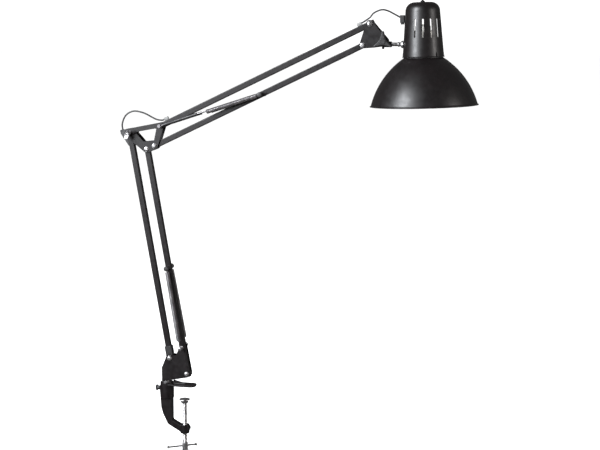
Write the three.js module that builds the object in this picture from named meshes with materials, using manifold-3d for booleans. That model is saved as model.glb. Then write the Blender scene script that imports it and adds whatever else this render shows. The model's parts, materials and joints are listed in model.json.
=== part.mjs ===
// Architect desk lamp on a table clamp: two sprung parallelogram arms and a bell shade with a vented cup.
// Millimetres, +Z up. The arms lie in the XZ plane, the desk is held between the jaws, and the origin is on
// the underside of the upper jaw, straight above the clamp screw.
import * as THREE from 'three';
import { mergeVertices } from 'three/addons/utils/BufferGeometryUtils.js';
import Module from 'manifold-3d';

const wasm = await Module();
wasm.setup();

// ---- Driving dimensions -----------------------------------------------------------------------------
const GAP = 0.3; // running gap between neighbouring pieces
const BAR = 9; // square arm tube, outside
const BAR_WALL = 1;
const BAR_END = 7; // tube past its pivot
const ARM = 382; // pivot to pivot, all four bars
const LOWER_ANGLE = 99.82; // lower arm's direction, degrees up from +X
const UPPER_ANGLE = 25.66; // upper arm's direction
const PLATE_IN = 5.8; // arm plane to the inner face of a side plate
const PLATE = 1.6; // sheet thickness
const PLATE_OUT = PLATE_IN + PLATE;
const BOLT_R = 2;
const HEAD_R = 3.8;
const HEAD = 2.4;
const NUT_R = 4.1;
const NUT = 3;
const NUT_FACE = PLATE_OUT + GAP;
const CORD_R = 1.3;
const ROUND = 10; // sides of small round parts

// Pivots, [x, z]
const LOWER_RIGHT_PIVOT = [6, 22];
const BASE_LINK = [-29.7, 25.8]; // right pivot to left pivot, on the base bracket
const ELBOW_REACH = [54.6, 13.0]; // left lower pivot to top upper pivot, on the elbow plates
const UPPER_LINK = [-11.3, -33.1]; // top upper pivot to bottom upper pivot
const LOWER_LEFT_PIVOT = add2(LOWER_RIGHT_PIVOT, BASE_LINK);
const ELBOW_LEFT = along(LOWER_LEFT_PIVOT, LOWER_ANGLE, ARM);
const ELBOW_RIGHT = along(LOWER_RIGHT_PIVOT, LOWER_ANGLE, ARM);
const UPPER_TOP_PIVOT = add2(ELBOW_LEFT, ELBOW_REACH);
const UPPER_BOTTOM_PIVOT = add2(UPPER_TOP_PIVOT, UPPER_LINK);
const HEAD_TOP = along(UPPER_TOP_PIVOT, UPPER_ANGLE, ARM);
const HEAD_BOTTOM = along(UPPER_BOTTOM_PIVOT, UPPER_ANGLE, ARM);
const TILT_PIVOT = [331.7, 575.5];

// Springs: each is a close coil held by a bolt through the bar, and a hook rod from a fixed stud
const COIL_R = 3.6;
const COIL_HOLE_R = 2.7;
const HOOK_R = 0.8;
const STUD_R = 1.8;
const LOWER_ANCHOR = along(LOWER_RIGHT_PIVOT, LOWER_ANGLE, 46);
const LOWER_COLLAR = along(LOWER_RIGHT_PIVOT, LOWER_ANGLE, 182);
const LOWER_ANCHOR_Y = 17; // spring eye to arm plane at the stud
const LOWER_COLLAR_Y = 12.5; // and at the bolt
const LOWER_COIL = 118;
const UPPER_COLLAR = along(UPPER_BOTTOM_PIVOT, UPPER_ANGLE, 200);
const UPPER_SPRING_Y = 13;
const UPPER_COIL = 88;
const UPPER_BIAS = 0.5; // degrees, so that rod and coil stay near each other at both ends of the swing
const EYE = 5; // spring eye centre to the coil's end
const ROD_IN_COIL = 24; // hook rod hidden in the coil at rest

// Clamp
const SPINE_W = 12;
const JAW_W = 22;
const JAW_T = 3;
const JAW_TIP = 20.5;
const SPINE_IN = -21;
const SPINE_OUT = -42.3;
const POST_X = -30.5;
const POST_R = 5;
const SOCKET_TOP = 5.2;
const SOCKET_R = 11.6;
const THUMB_Z = -6;
const SCREW_R = 4;
const PAD_R = 9;
const PAD_TOP = -23;
const SCREW_END = -113;
const TOMMY_Z = -104.5;
const TOMMY_TURN = 33;

// Head: the cup and shade share one axis, tipped a little about the stem
const STEM_Z = 571.2;
const HEAD_X = 393.3;
const HEAD_TIP = 1.8;
const STEM_R = 3;
const STEM_THIN = 2.4; // its threaded end, through the cup's wall
const CUP_TOP = 65;
const CUP_BOTTOM = -19.5;
const CUP_BOTTOM_R = 32.2;
const CUP_TOP_R = 26.9;
const SHEET = 1;
const HOLDER_R = 19;
const CAP_R = 13.6; // bulb cap, for a 27 mm screw lampholder
const SHADE_TOP = -21;
const SHADE_RIM = -95;
const SHADE_R = 85;
const SHADE_BULGE = 8; // how far the shade's arc stands out from a straight cone
const CUP_CORNER = 14;
const BULB_R = 29;
const BULB_NECK = 14.6;
const SLOTS = 10;
const SLOT_PITCH = 360 / 14;
const SLOT_TURN = 7; // the slots are centred a little round from the side opposite the stem
const SLOT = 2.7;
const SLOT_LOW = 10.6;
const SLOT_HIGH = 39.8;

// ---- Small helpers ----------------------------------------------------------------------------------
function add2(a, b) {
	return [a[0] + b[0], a[1] + b[1]];
}

function along(from, angle, distance) {
	const a = THREE.MathUtils.degToRad(angle);
	return [from[0] + distance * Math.cos(a), from[1] + distance * Math.sin(a)];
}

// A point beside a bar: distance along it from its pivot, and height over its axis
function onBar(pivot, angle, distance, height) {
	return along(along(pivot, angle, distance), angle + 90, height);
}

// Points on a circle about [r, z], between two angles in degrees
function arc([r, z], radius, from, to, steps) {
	return Array.from({ length: steps + 1 }, (_, i) => along([r, z], from + ((to - from) * i) / steps, radius));
}

// A closed outline that runs round circles [x, z, r] in turn, anticlockwise, on straight tangents.
// A negative radius is a hollow corner, with its centre outside the shape.
const ALMOST_BACK = 0.9 * Math.PI; // a turn sharper than this always goes round the corner's outside
function belt(circles, step = 30) {
	const normals = circles.map((c, i) => {
		const next = circles[(i + 1) % circles.length];
		const d = [next[0] - c[0], next[1] - c[1]];
		const turn = Math.asin((next[2] - c[2]) / Math.hypot(...d));
		return Math.atan2(d[1], d[0]) + Math.PI / 2 - turn;
	});
	const points = [];
	circles.forEach(([x, z, r], i) => {
		const from = normals[(i + circles.length - 1) % circles.length];
		let sweep = normals[i] - from;
		while (sweep > Math.PI) sweep -= 2 * Math.PI;
		while (sweep < -Math.PI) sweep += 2 * Math.PI;
		if (Math.abs(sweep) > ALMOST_BACK && sweep * r < 0) sweep += 2 * Math.PI * Math.sign(r);
		const steps = Math.max(1, Math.ceil(Math.abs(THREE.MathUtils.radToDeg(sweep)) / step));
		for (let k = 0; k <= steps; k++) {
			const a = from + (sweep * k) / steps;
			points.push(new THREE.Vector2(x - r * Math.cos(a), z - r * Math.sin(a)));
		}
	});
	return points.filter((p, i) => p.distanceTo(points[(i + 1) % points.length]) > 1e-3);
}

// An outline in the XZ plane, given thickness along Y
function slab(outline, yLow, yHigh, holes = []) {
	const shape = new THREE.Shape(outline);
	shape.holes = holes.map((h) => new THREE.Path(h));
	const g = new THREE.ExtrudeGeometry(shape, { depth: yHigh - yLow, bevelEnabled: false });
	return g.rotateX(Math.PI / 2).translate(0, yHigh, 0);
}

function box(low, high) {
	const size = high.map((h, i) => h - low[i]);
	return new THREE.BoxGeometry(...size).translate(...high.map((h, i) => (h + low[i]) / 2));
}

function rod(radius, from, to, sides = ROUND) {
	const a = new THREE.Vector3(...from);
	const d = new THREE.Vector3(...to).sub(a);
	const up = new THREE.Vector3(0, 1, 0);
	const turn = new THREE.Quaternion().setFromUnitVectors(up, d.clone().normalize());
	const g = new THREE.CylinderGeometry(radius, radius, d.length(), sides);
	return g.applyQuaternion(turn).translate(a.x + d.x / 2, a.y + d.y / 2, a.z + d.z / 2);
}

// A pin through the arm plane at pivot [x, z]
function pin(radius, pivot, yLow, yHigh, sides = ROUND) {
	return rod(radius, [pivot[0], yLow, pivot[1]], [pivot[0], yHigh, pivot[1]], sides);
}

function lathe(profile, sides = 32) {
	const points = profile.map(([r, z]) => new THREE.Vector2(r, z));
	return new THREE.LatheGeometry(points, sides).rotateX(Math.PI / 2);
}

function solid(geometry) {
	const g = mergeVertices(bare(geometry), 1e-4);
	return new wasm.Manifold(
		new wasm.Mesh({
			numProp: 3,
			vertProperties: new Float32Array(g.attributes.position.array),
			triVerts: new Uint32Array(g.index.array),
		})
	);
}

function bare(geometry) {
	const g = geometry.index ? geometry.clone() : mergeVertices(geometry.clone(), 1e-6);
	g.deleteAttribute('normal');
	g.deleteAttribute('uv');
	return g;
}

function surface(manifold) {
	const m = manifold.getMesh();
	const g = new THREE.BufferGeometry();
	g.setAttribute('position', new THREE.BufferAttribute(new Float32Array(m.vertProperties), 3));
	g.setIndex(new THREE.BufferAttribute(new Uint32Array(m.triVerts), 1));
	return g;
}

function union(...geometries) {
	return surface(geometries.map(solid).reduce((a, b) => a.add(b)));
}

function cut(geometry, ...tools) {
	return surface(tools.reduce((a, t) => a.subtract(solid(t)), solid(geometry)));
}

// ---- Materials --------------------------------------------------------------------------------------
const FINISHES = {
	black_paint: [0x1c171a, 0.42, 0.2],
	bright_steel: [0xb9babc, 0.28, 1],
	spring_steel: [0x8d8b8d, 0.35, 1],
	black_plastic: [0x17151a, 0.55, 0],
	grey_plastic: [0x9a9a98, 0.5, 0],
	ceramic: [0xd8d2c8, 0.35, 0],
	frosted_glass: [0xf1eee6, 0.3, 0],
	cord_rubber: [0x141416, 0.6, 0],
};

const lamp = new THREE.Group();

function part(name, finish, geometry, parent = lamp) {
	const [color, roughness, metalness] = FINISHES[finish];
	const material = new THREE.MeshStandardMaterial({ color, roughness, metalness });
	const mesh = new THREE.Mesh(geometry, material);
	mesh.name = name;
	parent.add(mesh);
	return mesh;
}

// A group whose +X runs along a bar from its pivot
function barFrame(pivot, angle) {
	const g = new THREE.Group();
	g.position.set(pivot[0], 0, pivot[1]);
	g.rotation.y = -THREE.MathUtils.degToRad(angle);
	lamp.add(g);
	return g;
}

// ---- Repeated pieces --------------------------------------------------------------------------------
const SIDES = [-1, 1]; // in front of the arm plane and behind it
const SIDE_NAMES = ['front', 'back'];
const HALF = BAR / 2;
const BORE = HALF - BAR_WALL;
const PLUG = BORE - GAP;

function circle(x, z, r, sides = ROUND) {
	return Array.from({ length: sides }, (_, i) => {
		const a = (2 * Math.PI * i) / sides;
		return new THREE.Vector2(x + r * Math.cos(a), z + r * Math.sin(a));
	});
}

// A square tube along +X, drilled across for pins at each distance in holes
function tube(low, high, holes) {
	const shell = cut(
		box([low, -HALF, -HALF], [high, HALF, HALF]),
		box([low - 1, -BORE, -BORE], [high + 1, BORE, BORE])
	);
	return cut(shell, ...holes.map(([x, r]) => pin(r + GAP, [x, 0], -BAR, BAR)));
}

// A square block centred on the bar's axis, between two distances along it
function block(a, b, half) {
	return box([Math.min(a, b), -half, -half], [Math.max(a, b), half, half]);
}

// A plug in a tube's end at distance x, facing side: a cap over the end and a block inside it
function endPlug(x, side) {
	const cap = block(x + side * GAP, x + side * 1.7, HALF);
	return union(cap, block(x - side * 3.2, x + side * 0.8, PLUG));
}

// A bolt through both plates with its nut run up at the back, from a front end at -front
function studBolt(pivot, front) {
	const six = circle(pivot[0], pivot[1], NUT_R, 6);
	return union(pin(BOLT_R, pivot, -front, NUT_FACE + NUT + 1), slab(six, NUT_FACE, NUT_FACE + NUT));
}

// The same with a pan head on the front plate
function bolt(pivot) {
	const face = PLATE_OUT + GAP;
	return union(studBolt(pivot, face + 0.5), pin(HEAD_R, pivot, -face - HEAD, -face));
}

// ---- Clamp ------------------------------------------------------------------------------------------
const spine = belt([
	[SPINE_OUT + 4, SOCKET_TOP - 8, 4],
	[-10, -36, 30],
	[-24.5, -63.5, 5],
	[-1.5, -77.8, 4],
	[3.5, -74, 5.6],
	[-4, -73.5, 3.8],
	[-18.4, -58.5, -2.6],
	[SPINE_IN - 2.5, -8, 2.5],
	[SPINE_IN - 2.5, -2.5, 2.5],
]);
const jaw = belt([
	[-33, -JAW_W / 2 + 1, 1],
	[JAW_TIP - 8, -JAW_W / 2 + 8, 8],
	[JAW_TIP - 8, JAW_W / 2 - 8, 8],
	[-33, JAW_W / 2 - 1, 1],
]);
const jawPlate = new THREE.ExtrudeGeometry(new THREE.Shape(jaw), { depth: JAW_T, bevelEnabled: false });
const rib = belt([
	[-30, 1.5, 0.6],
	[3, 2.4, 0.6],
	[3, 3.2, 0.6],
	[-19, 8.2, 1],
	[-30, 4, 1],
]);
part(
	'clamp_frame',
	'black_paint',
	cut(
		union(
			slab(spine, -SPINE_W / 2, SPINE_W / 2),
			jawPlate,
			slab(rib, -2.2, 2.2),
			rod(SOCKET_R, [POST_X, 0, -22], [POST_X, 0, SOCKET_TOP], 28),
			rod(8, [0, 0, -82], [0, 0, -67.2], 24)
		),
		rod(POST_R + GAP, [POST_X, 0, -18], [POST_X, 0, SOCKET_TOP + 1], 20),
		rod(SOCKET_R, [POST_X, 0, SOCKET_TOP], [POST_X, 0, SOCKET_TOP + 8], 28),
		rod(SCREW_R + GAP, [0, 0, -84], [0, 0, -60], 20),
		rod(2.2, [POST_X - 14, 0, THUMB_Z], [POST_X, 0, THUMB_Z])
	)
);
part(
	'clamp_screw',
	'bright_steel',
	cut(
		union(
			rod(SCREW_R, [0, 0, PAD_TOP - 3.3], [0, 0, SCREW_END], 20),
			rod(SCREW_R + 0.8, [0, 0, SCREW_END], [0, 0, SCREW_END + 14], 20)
		),
		tommy(1.5 + GAP, 20)
	)
);
part(
	'pressure_pad',
	'bright_steel',
	lathe([
		[0, PAD_TOP - 3],
		[SCREW_R + GAP, PAD_TOP - 3],
		[SCREW_R + GAP, PAD_TOP - 6.5],
		[6.2, PAD_TOP - 6.5],
		[6.2, PAD_TOP - 2.2],
		[PAD_R + 0.3, PAD_TOP - 0.8],
		[PAD_R, PAD_TOP],
		[0, PAD_TOP],
	], 28)
);

function tommy(radius, half, offset = 0) {
	const a = THREE.MathUtils.degToRad(TOMMY_TURN);
	const end = (d) => [d * Math.cos(a), d * Math.sin(a), TOMMY_Z];
	return rod(radius, end(offset - half), end(offset + half));
}
part('tommy_bar', 'bright_steel', union(tommy(1.5, 26, -5), tommy(2.6, 1.6, -31), tommy(2.6, 1.6, 21)));

const wing = belt([
	[0, -2.5, 2.6],
	[0, 2.5, 2.6],
], 30);
part(
	'post_thumb_screw',
	'black_plastic',
	union(
		rod(1.9, [POST_X - POST_R - GAP, 0, THUMB_Z], [SPINE_OUT - 3, 0, THUMB_Z]),
		rod(3.6, [SPINE_OUT - 0.5, 0, THUMB_Z], [SPINE_OUT - 4, 0, THUMB_Z]),
		slab(wing, -1.1, 1.1).translate(SPINE_OUT - 6.2, 0, THUMB_Z)
	)
);

// ---- Base bracket -----------------------------------------------------------------------------------
const WEB_X = POST_X - POST_R - GAP;
const basePlate = belt([
	[WEB_X + 1, 9.8, 2.4],
	[-22, 13.2, 3],
	[LOWER_RIGHT_PIVOT[0], LOWER_RIGHT_PIVOT[1], 6],
	[LOWER_ANCHOR[0] + 0.4, LOWER_ANCHOR[1], 5],
	[-14.6, 56.6, -3.6],
	[LOWER_LEFT_PIVOT[0] - 0.4, LOWER_LEFT_PIVOT[1], 6],
	[-31.2, 35.5, 1.6],
	[WEB_X + 0.2, 31, 1.8],
]);
const baseHoles = [LOWER_LEFT_PIVOT, LOWER_RIGHT_PIVOT, LOWER_ANCHOR].map((p) => circle(...p, BOLT_R + GAP));
const web = [new THREE.Vector2(WEB_X - PLATE, 8.6), new THREE.Vector2(WEB_X, 8.6),
	new THREE.Vector2(WEB_X, 32), new THREE.Vector2(WEB_X - PLATE, 32)];
part(
	'base_bracket',
	'black_paint',
	union(
		slab(basePlate, -PLATE_OUT, -PLATE_IN, baseHoles),
		slab(basePlate, PLATE_IN, PLATE_OUT, baseHoles),
		slab(web, -PLATE_OUT, PLATE_OUT)
	)
);
part(
	'base_post',
	'bright_steel',
	union(
		rod(POST_R, [POST_X, 0, -17.6], [POST_X, 0, 34], 20),
		rod(POST_R - 0.8, [POST_X, 0, 33], [POST_X, 0, 34.8], 20)
	)
);
part('base_washer', 'bright_steel', lathe([
	[POST_R + GAP, SOCKET_TOP + GAP],
	[9, SOCKET_TOP + GAP],
	[9, SOCKET_TOP + 1.9],
	[POST_R + GAP, SOCKET_TOP + 1.9],
	[POST_R + GAP, SOCKET_TOP + GAP],
], 24).translate(POST_X, 0, 0));
part('base_bolt_left', 'bright_steel', bolt(LOWER_LEFT_PIVOT));
part('base_bolt_right', 'bright_steel', bolt(LOWER_RIGHT_PIVOT));

// Studs that the spring hooks sit on, one riveted to the outside of each plate
function stud(pivot, eyeY, side) {
	return union(
		pin(STUD_R, pivot, side * PLATE_IN, side * (eyeY + 2.4)),
		pin(3, pivot, side * (PLATE_OUT + GAP), side * (PLATE_OUT + 1.6)),
		pin(2.9, pivot, side * (eyeY + 1.6), side * (eyeY + 3))
	);
}
SIDE_NAMES.forEach((name, i) =>
	part('lower_spring_stud_' + name, 'bright_steel', stud(LOWER_ANCHOR, LOWER_ANCHOR_Y, SIDES[i]))
);

// ---- Springs ----------------------------------------------------------------------------------------
// A spring lies from its eye on the stud to its eye on the bar's bolt, on side -1 (front) or 1 (back).
// At rest the rod and the coil may lie a little aslant of that line, by bias degrees, both the same way.
function springLine(anchor, anchorY, collar, collarY, side, bias) {
	const a = new THREE.Vector3(anchor[0], side * anchorY, anchor[1]);
	const b = new THREE.Vector3(collar[0], side * collarY, collar[1]);
	const way = b.clone().sub(a).normalize();
	return { a, b, way: way.applyAxisAngle(new THREE.Vector3(0, -1, 0), THREE.MathUtils.degToRad(bias)) };
}

function eye(centre, hole) {
	const c = [centre.x, centre.z];
	return slab(circle(...c, hole + 1.5), centre.y - 0.8, centre.y + 0.8, [circle(...c, hole + GAP)]);
}

function coil(line, length, hole) {
	const top = line.b.clone().addScaledVector(line.way, -EYE);
	const bottom = top.clone().addScaledVector(line.way, -length);
	const cap = top.clone().addScaledVector(line.way, -2);
	const neck = line.b.clone().addScaledVector(line.way, -(hole + 0.9));
	const mouth = bottom.clone().addScaledVector(line.way, -1);
	const body = cut(rod(COIL_R, bottom, top), rod(COIL_HOLE_R, mouth, cap));
	return union(body, rod(HOOK_R, cap, neck, 8), eye(line.b, hole));
}

function hook(line, length) {
	const top = line.b.clone().addScaledVector(line.way, -EYE - length + ROD_IN_COIL);
	const start = line.a.clone().addScaledVector(line.way, STUD_R + 0.9);
	return union(rod(HOOK_R, start, top, 8), eye(line.a, STUD_R));
}

function springPair(name, anchor, anchorY, collar, collarY, length, bias) {
	SIDE_NAMES.forEach((sideName, i) => {
		const line = springLine(anchor, anchorY, collar, collarY, SIDES[i], bias);
		part(name + '_coil_' + sideName, 'spring_steel', coil(line, length, BOLT_R));
		part(name + '_hook_' + sideName, 'spring_steel', hook(line, length));
	});
}
springPair('lower_spring', LOWER_ANCHOR, LOWER_ANCHOR_Y, LOWER_COLLAR, LOWER_COLLAR_Y, LOWER_COIL, 0);
springPair(
	'upper_spring', UPPER_TOP_PIVOT, UPPER_SPRING_Y, UPPER_COLLAR, UPPER_SPRING_Y, UPPER_COIL, UPPER_BIAS
);

// The bolt through a bar that carries two spring eyes, with a sleeve against the bar on each side
function springBolt(collar, eyeY) {
	const reach = eyeY + 1.6;
	return union(
		pin(BOLT_R, collar, -reach - 1, reach + 1),
		...SIDES.map((side) => pin(3.4, collar, side * (HALF + GAP), side * (eyeY - 1.1 - GAP))),
		...SIDES.map((side) => pin(4.2, collar, side * reach, side * (reach + 2.6)))
	);
}
part('lower_spring_bolt', 'bright_steel', springBolt(LOWER_COLLAR, LOWER_COLLAR_Y));
part('upper_spring_bolt', 'bright_steel', springBolt(UPPER_COLLAR, UPPER_SPRING_Y));

// ---- Lower arm --------------------------------------------------------------------------------------
const lowerLeft = barFrame(LOWER_LEFT_PIVOT, LOWER_ANGLE);
part('lower_bar_left', 'black_paint', tube(-BAR_END, ARM + BAR_END, [[0, BOLT_R], [ARM, BOLT_R]]), lowerLeft);
part(
	'lower_bar_ferrule',
	'black_plastic',
	cut(
		box([-5.5, -HALF - 1, -HALF - 1.3], [20, HALF + 1, HALF + 1.3]),
		block(-6.5, 21, HALF + GAP),
		pin(5, [0, 0], -BAR, BAR)
	),
	lowerLeft
);
part(
	'mains_lead_gland',
	'black_plastic',
	cut(endPlug(-BAR_END, -1), rod(CORD_R + 0.2, [-12, 0, 0], [0, 0, 0], 10)),
	lowerLeft
);

const lowerRight = barFrame(LOWER_RIGHT_PIVOT, LOWER_ANGLE);
part('lower_bar_right', 'black_paint',
	tube(-BAR_END + 2, ARM + BAR_END - 2, [[0, BOLT_R], [182, BOLT_R], [ARM, BOLT_R]]), lowerRight);

// ---- Elbow ------------------------------------------------------------------------------------------
const elbowPlate = belt([
	[...ELBOW_RIGHT, 5.6],
	[...UPPER_BOTTOM_PIVOT, 6],
	[...UPPER_TOP_PIVOT, 5.6],
	[...ELBOW_LEFT, 7.6],
]);
const elbowWindow = belt([
	[...add2(ELBOW_RIGHT, [-4, 14]), 1.5],
	[...add2(UPPER_BOTTOM_PIVOT, [-1.5, 10]), 1.5],
	[...add2(UPPER_TOP_PIVOT, [-9, -6]), 1.5],
	[...add2(ELBOW_LEFT, [14, 1]), 1.5],
]);
const elbowPivots = [ELBOW_LEFT, ELBOW_RIGHT, UPPER_TOP_PIVOT, UPPER_BOTTOM_PIVOT];
const elbowHoles = [...elbowPivots.map((p) => circle(...p, BOLT_R + GAP)), elbowWindow];
part('elbow_plate_front', 'black_paint', slab(elbowPlate, -PLATE_OUT, -PLATE_IN, elbowHoles));
part('elbow_plate_back', 'black_paint', slab(elbowPlate, PLATE_IN, PLATE_OUT, elbowHoles));
part('elbow_bolt_lower', 'bright_steel', bolt(ELBOW_RIGHT));
part('elbow_bolt_upper', 'bright_steel', bolt(UPPER_BOTTOM_PIVOT));
part('elbow_lock_bolt', 'bright_steel', studBolt(ELBOW_LEFT, PLATE_OUT + 8.4));
// The top pivot's long bolt also carries the upper springs' hooks
part('upper_spring_anchor', 'bright_steel', union(
	pin(STUD_R, UPPER_TOP_PIVOT, -UPPER_SPRING_Y - 2.4, UPPER_SPRING_Y + 2.4),
	...SIDES.map((side) => pin(3.6, UPPER_TOP_PIVOT, side * NUT_FACE, side * (PLATE_OUT + 2.6), 6)),
	...SIDES.map((side) => {
		const cap = UPPER_SPRING_Y + 1.4;
		return pin(3.2, UPPER_TOP_PIVOT, side * cap, side * (cap + 1.8));
	})
));

// Wing nut on the left pivot: a hub with two ears that lean out from the plate
function ear(angle) {
	const c = along([0, 0], angle, 8.4);
	const shape = belt([[0, 0, 3.4], [c[0], c[1], 3.4]], 30);
	return slab(shape, -PLATE_OUT - 9.4, -PLATE_OUT - 7.2).applyMatrix4(lean(angle));
}
function lean(angle) {
	const a = THREE.MathUtils.degToRad(angle);
	const axis = new THREE.Vector3(-Math.sin(a), 0, Math.cos(a));
	const pivot = new THREE.Vector3(0, -PLATE_OUT - 5, 0);
	const turn = new THREE.Matrix4().makeRotationAxis(axis, THREE.MathUtils.degToRad(-28));
	const back = new THREE.Matrix4().makeTranslation(pivot.clone().negate());
	return new THREE.Matrix4().makeTranslation(pivot).multiply(turn).multiply(back);
}
const WING_TURN = 28;
part('elbow_wing_nut', 'bright_steel',
	cut(
		union(
			rod(4.6, [0, -PLATE_OUT - GAP - 5.5, 0], [0, -PLATE_OUT - GAP, 0], 16),
			ear(WING_TURN),
			ear(WING_TURN + 242)
		),
		rod(BOLT_R + GAP, [0, -30, 0], [0, 0, 0])
	).translate(ELBOW_LEFT[0], 0, ELBOW_LEFT[1])
);

// ---- Upper arm --------------------------------------------------------------------------------------
const upperTop = barFrame(UPPER_TOP_PIVOT, UPPER_ANGLE);
part('upper_bar_top', 'black_paint',
	tube(-BAR_END + 1, ARM + BAR_END - 1, [[0, STUD_R], [ARM, BOLT_R]]), upperTop);
const upperBottom = barFrame(UPPER_BOTTOM_PIVOT, UPPER_ANGLE);
part('upper_bar_bottom', 'black_paint',
	tube(-BAR_END + 2, ARM + BAR_END - 2, [[0, BOLT_R], [200, BOLT_R], [ARM, BOLT_R]]), upperBottom);

// ---- Head bracket -----------------------------------------------------------------------------------
const headPlate = belt([
	[...HEAD_BOTTOM, 5],
	[HEAD_BOTTOM[0] + 16, HEAD_BOTTOM[1] + 1.2, 5],
	[...TILT_PIVOT, 7.5],
	[320.5, 588, 7],
	[...HEAD_TOP, 6],
]);
const headHoles = [HEAD_TOP, HEAD_BOTTOM, TILT_PIVOT].map((p) => circle(...p, BOLT_R + GAP));
part('head_plate_front', 'black_paint', slab(headPlate, -PLATE_OUT, -PLATE_IN, headHoles));
part('head_plate_back', 'black_paint', slab(headPlate, PLATE_IN, PLATE_OUT, headHoles));
part('head_bolt_top', 'bright_steel', bolt(HEAD_TOP));
part('head_bolt_bottom', 'bright_steel', bolt(HEAD_BOTTOM));
part('tilt_bolt', 'bright_steel', studBolt(TILT_PIVOT, PLATE_OUT + 5));

// Three-cornered knob with hollow sides, on the tilt bolt
const knobOutline = belt([0, 1, 2].flatMap((k) => {
	const tip = along(TILT_PIVOT, 90 + 120 * k, 14.4);
	const waist = along(TILT_PIVOT, 150 + 120 * k, 31);
	return [[...tip, 1.7], [...waist, -25]];
}), 14);
part('tilt_knob', 'black_plastic', cut(
	slab(knobOutline, -PLATE_OUT - 10, -PLATE_OUT - GAP),
	pin(BOLT_R + GAP, TILT_PIVOT, -PLATE_OUT - 6, 0)
));

// ---- Stem and head ----------------------------------------------------------------------------------
const EYE_HALF = PLATE_IN - GAP - 0.4;
const CUP_LEFT = HEAD_X - 31.6;
part('head_knuckle', 'black_paint', cut(
	union(
		pin(7.4, TILT_PIVOT, -EYE_HALF, EYE_HALF, 20),
		rod(4.6, [TILT_PIVOT[0], 0, STEM_Z], [TILT_PIVOT[0] + 12.5, 0, STEM_Z], 16),
		rod(1.9, [TILT_PIVOT[0] - 1.2, 0, STEM_Z], [TILT_PIVOT[0] - 1.2, 0, STEM_Z - 7.4])
	),
	pin(BOLT_R + GAP, TILT_PIVOT, -BAR, BAR),
	rod(STEM_R + GAP, [TILT_PIVOT[0] + 5, 0, STEM_Z], [TILT_PIVOT[0] + 20, 0, STEM_Z], 16)
));
part('head_stem', 'bright_steel', union(
	rod(STEM_R, [TILT_PIVOT[0] + 5.4, 0, STEM_Z], [CUP_LEFT - 5.2, 0, STEM_Z], 16),
	rod(STEM_R + 0.9, [CUP_LEFT - 7.2, 0, STEM_Z], [CUP_LEFT - 5.2, 0, STEM_Z], 16),
	rod(STEM_THIN, [CUP_LEFT - 6, 0, STEM_Z], [CUP_LEFT + 8, 0, STEM_Z], 16)
));

const head = new THREE.Group();
head.position.set(HEAD_X, 0, STEM_Z);
head.rotation.y = -THREE.MathUtils.degToRad(HEAD_TIP);
lamp.add(head);

const wallAt = (h) => THREE.MathUtils.mapLinear(h, CUP_BOTTOM, 50, CUP_BOTTOM_R, CUP_TOP_R);
// The level stem enters the tipped cup's wall a little above the head's origin
const STEM_LIFT = (CUP_BOTTOM_R - 1) * Math.sin(THREE.MathUtils.degToRad(HEAD_TIP));
const stemHole = rod(STEM_THIN + GAP, [-60, 0, STEM_LIFT], [-15, 0, STEM_LIFT], 16);
const CORNER_CENTRE = [CUP_TOP_R - CUP_CORNER, CUP_TOP - CUP_CORNER];
const cupOuter = [
	[wallAt(CUP_BOTTOM) + 0.5, CUP_BOTTOM],
	[wallAt(CUP_BOTTOM) + 0.5, CUP_BOTTOM + 1],
	[wallAt(0), 0],
	[wallAt(30), 30],
	...arc(CORNER_CENTRE, CUP_CORNER, 0, 90, 4),
	[0, CUP_TOP],
];
const cupInner = [
	[0, CUP_TOP - SHEET],
	...arc(CORNER_CENTRE, CUP_CORNER - SHEET, 90, 0, 4),
	[wallAt(CUP_BOTTOM) - SHEET, CUP_BOTTOM],
	[wallAt(CUP_BOTTOM) + 0.5, CUP_BOTTOM],
];
const slots = Array.from({ length: SLOTS }, (_, i) => {
	const angle = SLOT_TURN + (i - (SLOTS - 1) / 2) * SLOT_PITCH;
	const g = box([20, -SLOT / 2, SLOT_LOW], [40, SLOT / 2, SLOT_HIGH]);
	return g.rotateZ(THREE.MathUtils.degToRad(angle));
});
const notch = box([20, -1.1, CUP_BOTTOM - 1], [40, 1.1, CUP_BOTTOM + 7]);
const notches = [-44, 76, 196].map((a) => notch.clone().rotateZ(THREE.MathUtils.degToRad(a)));
part('lamp_cup', 'black_paint', cut(
	lathe([...cupOuter, ...cupInner], 40),
	...slots,
	...notches,
	stemHole,
	rod(2.2 + GAP, [0, 0, 50], [0, 0, 80]),
	rod(2.6, [-40, 0, 38], [-20, 0, 38])
), head);
part(
	'cup_top_screw',
	'black_paint',
	union(
		rod(2.2, [0, 0, CUP_TOP - 6], [0, 0, CUP_TOP + 1.2]),
		rod(3.2, [0, 0, CUP_TOP + GAP], [0, 0, CUP_TOP + 2.2]),
		rod(1.2, [0, 0, CUP_TOP + 2], [0, 0, CUP_TOP + 5])
	),
	head
);

// Ball washer and inner nut clamp the cup's side wall on the stem
const BALL_R = 6;
const ball = Array.from({ length: 6 }, (_, i) => {
	const a = (Math.PI / 3) * (i / 5);
	return [BALL_R * Math.cos(a), 0.85 * BALL_R * Math.sin(a)];
});
const bore = STEM_THIN + GAP;
const washerTop = 0.85 * BALL_R;
const dome = lathe([...ball, [bore, washerTop], [bore, 0], [BALL_R, 0]], 20).rotateY(-Math.PI / 2);
part('ball_washer', 'bright_steel', dome.translate(-wallAt(0) - 0.5, 0, STEM_LIFT), head);
const stemNut = slab(circle(0, 0, 5, 6), 0, 4, [circle(0, 0, bore)]).rotateZ(-Math.PI / 2);
part('stem_nut', 'bright_steel', stemNut.translate(-wallAt(0) + SHEET + 1.2, 0, STEM_LIFT), head);

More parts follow.
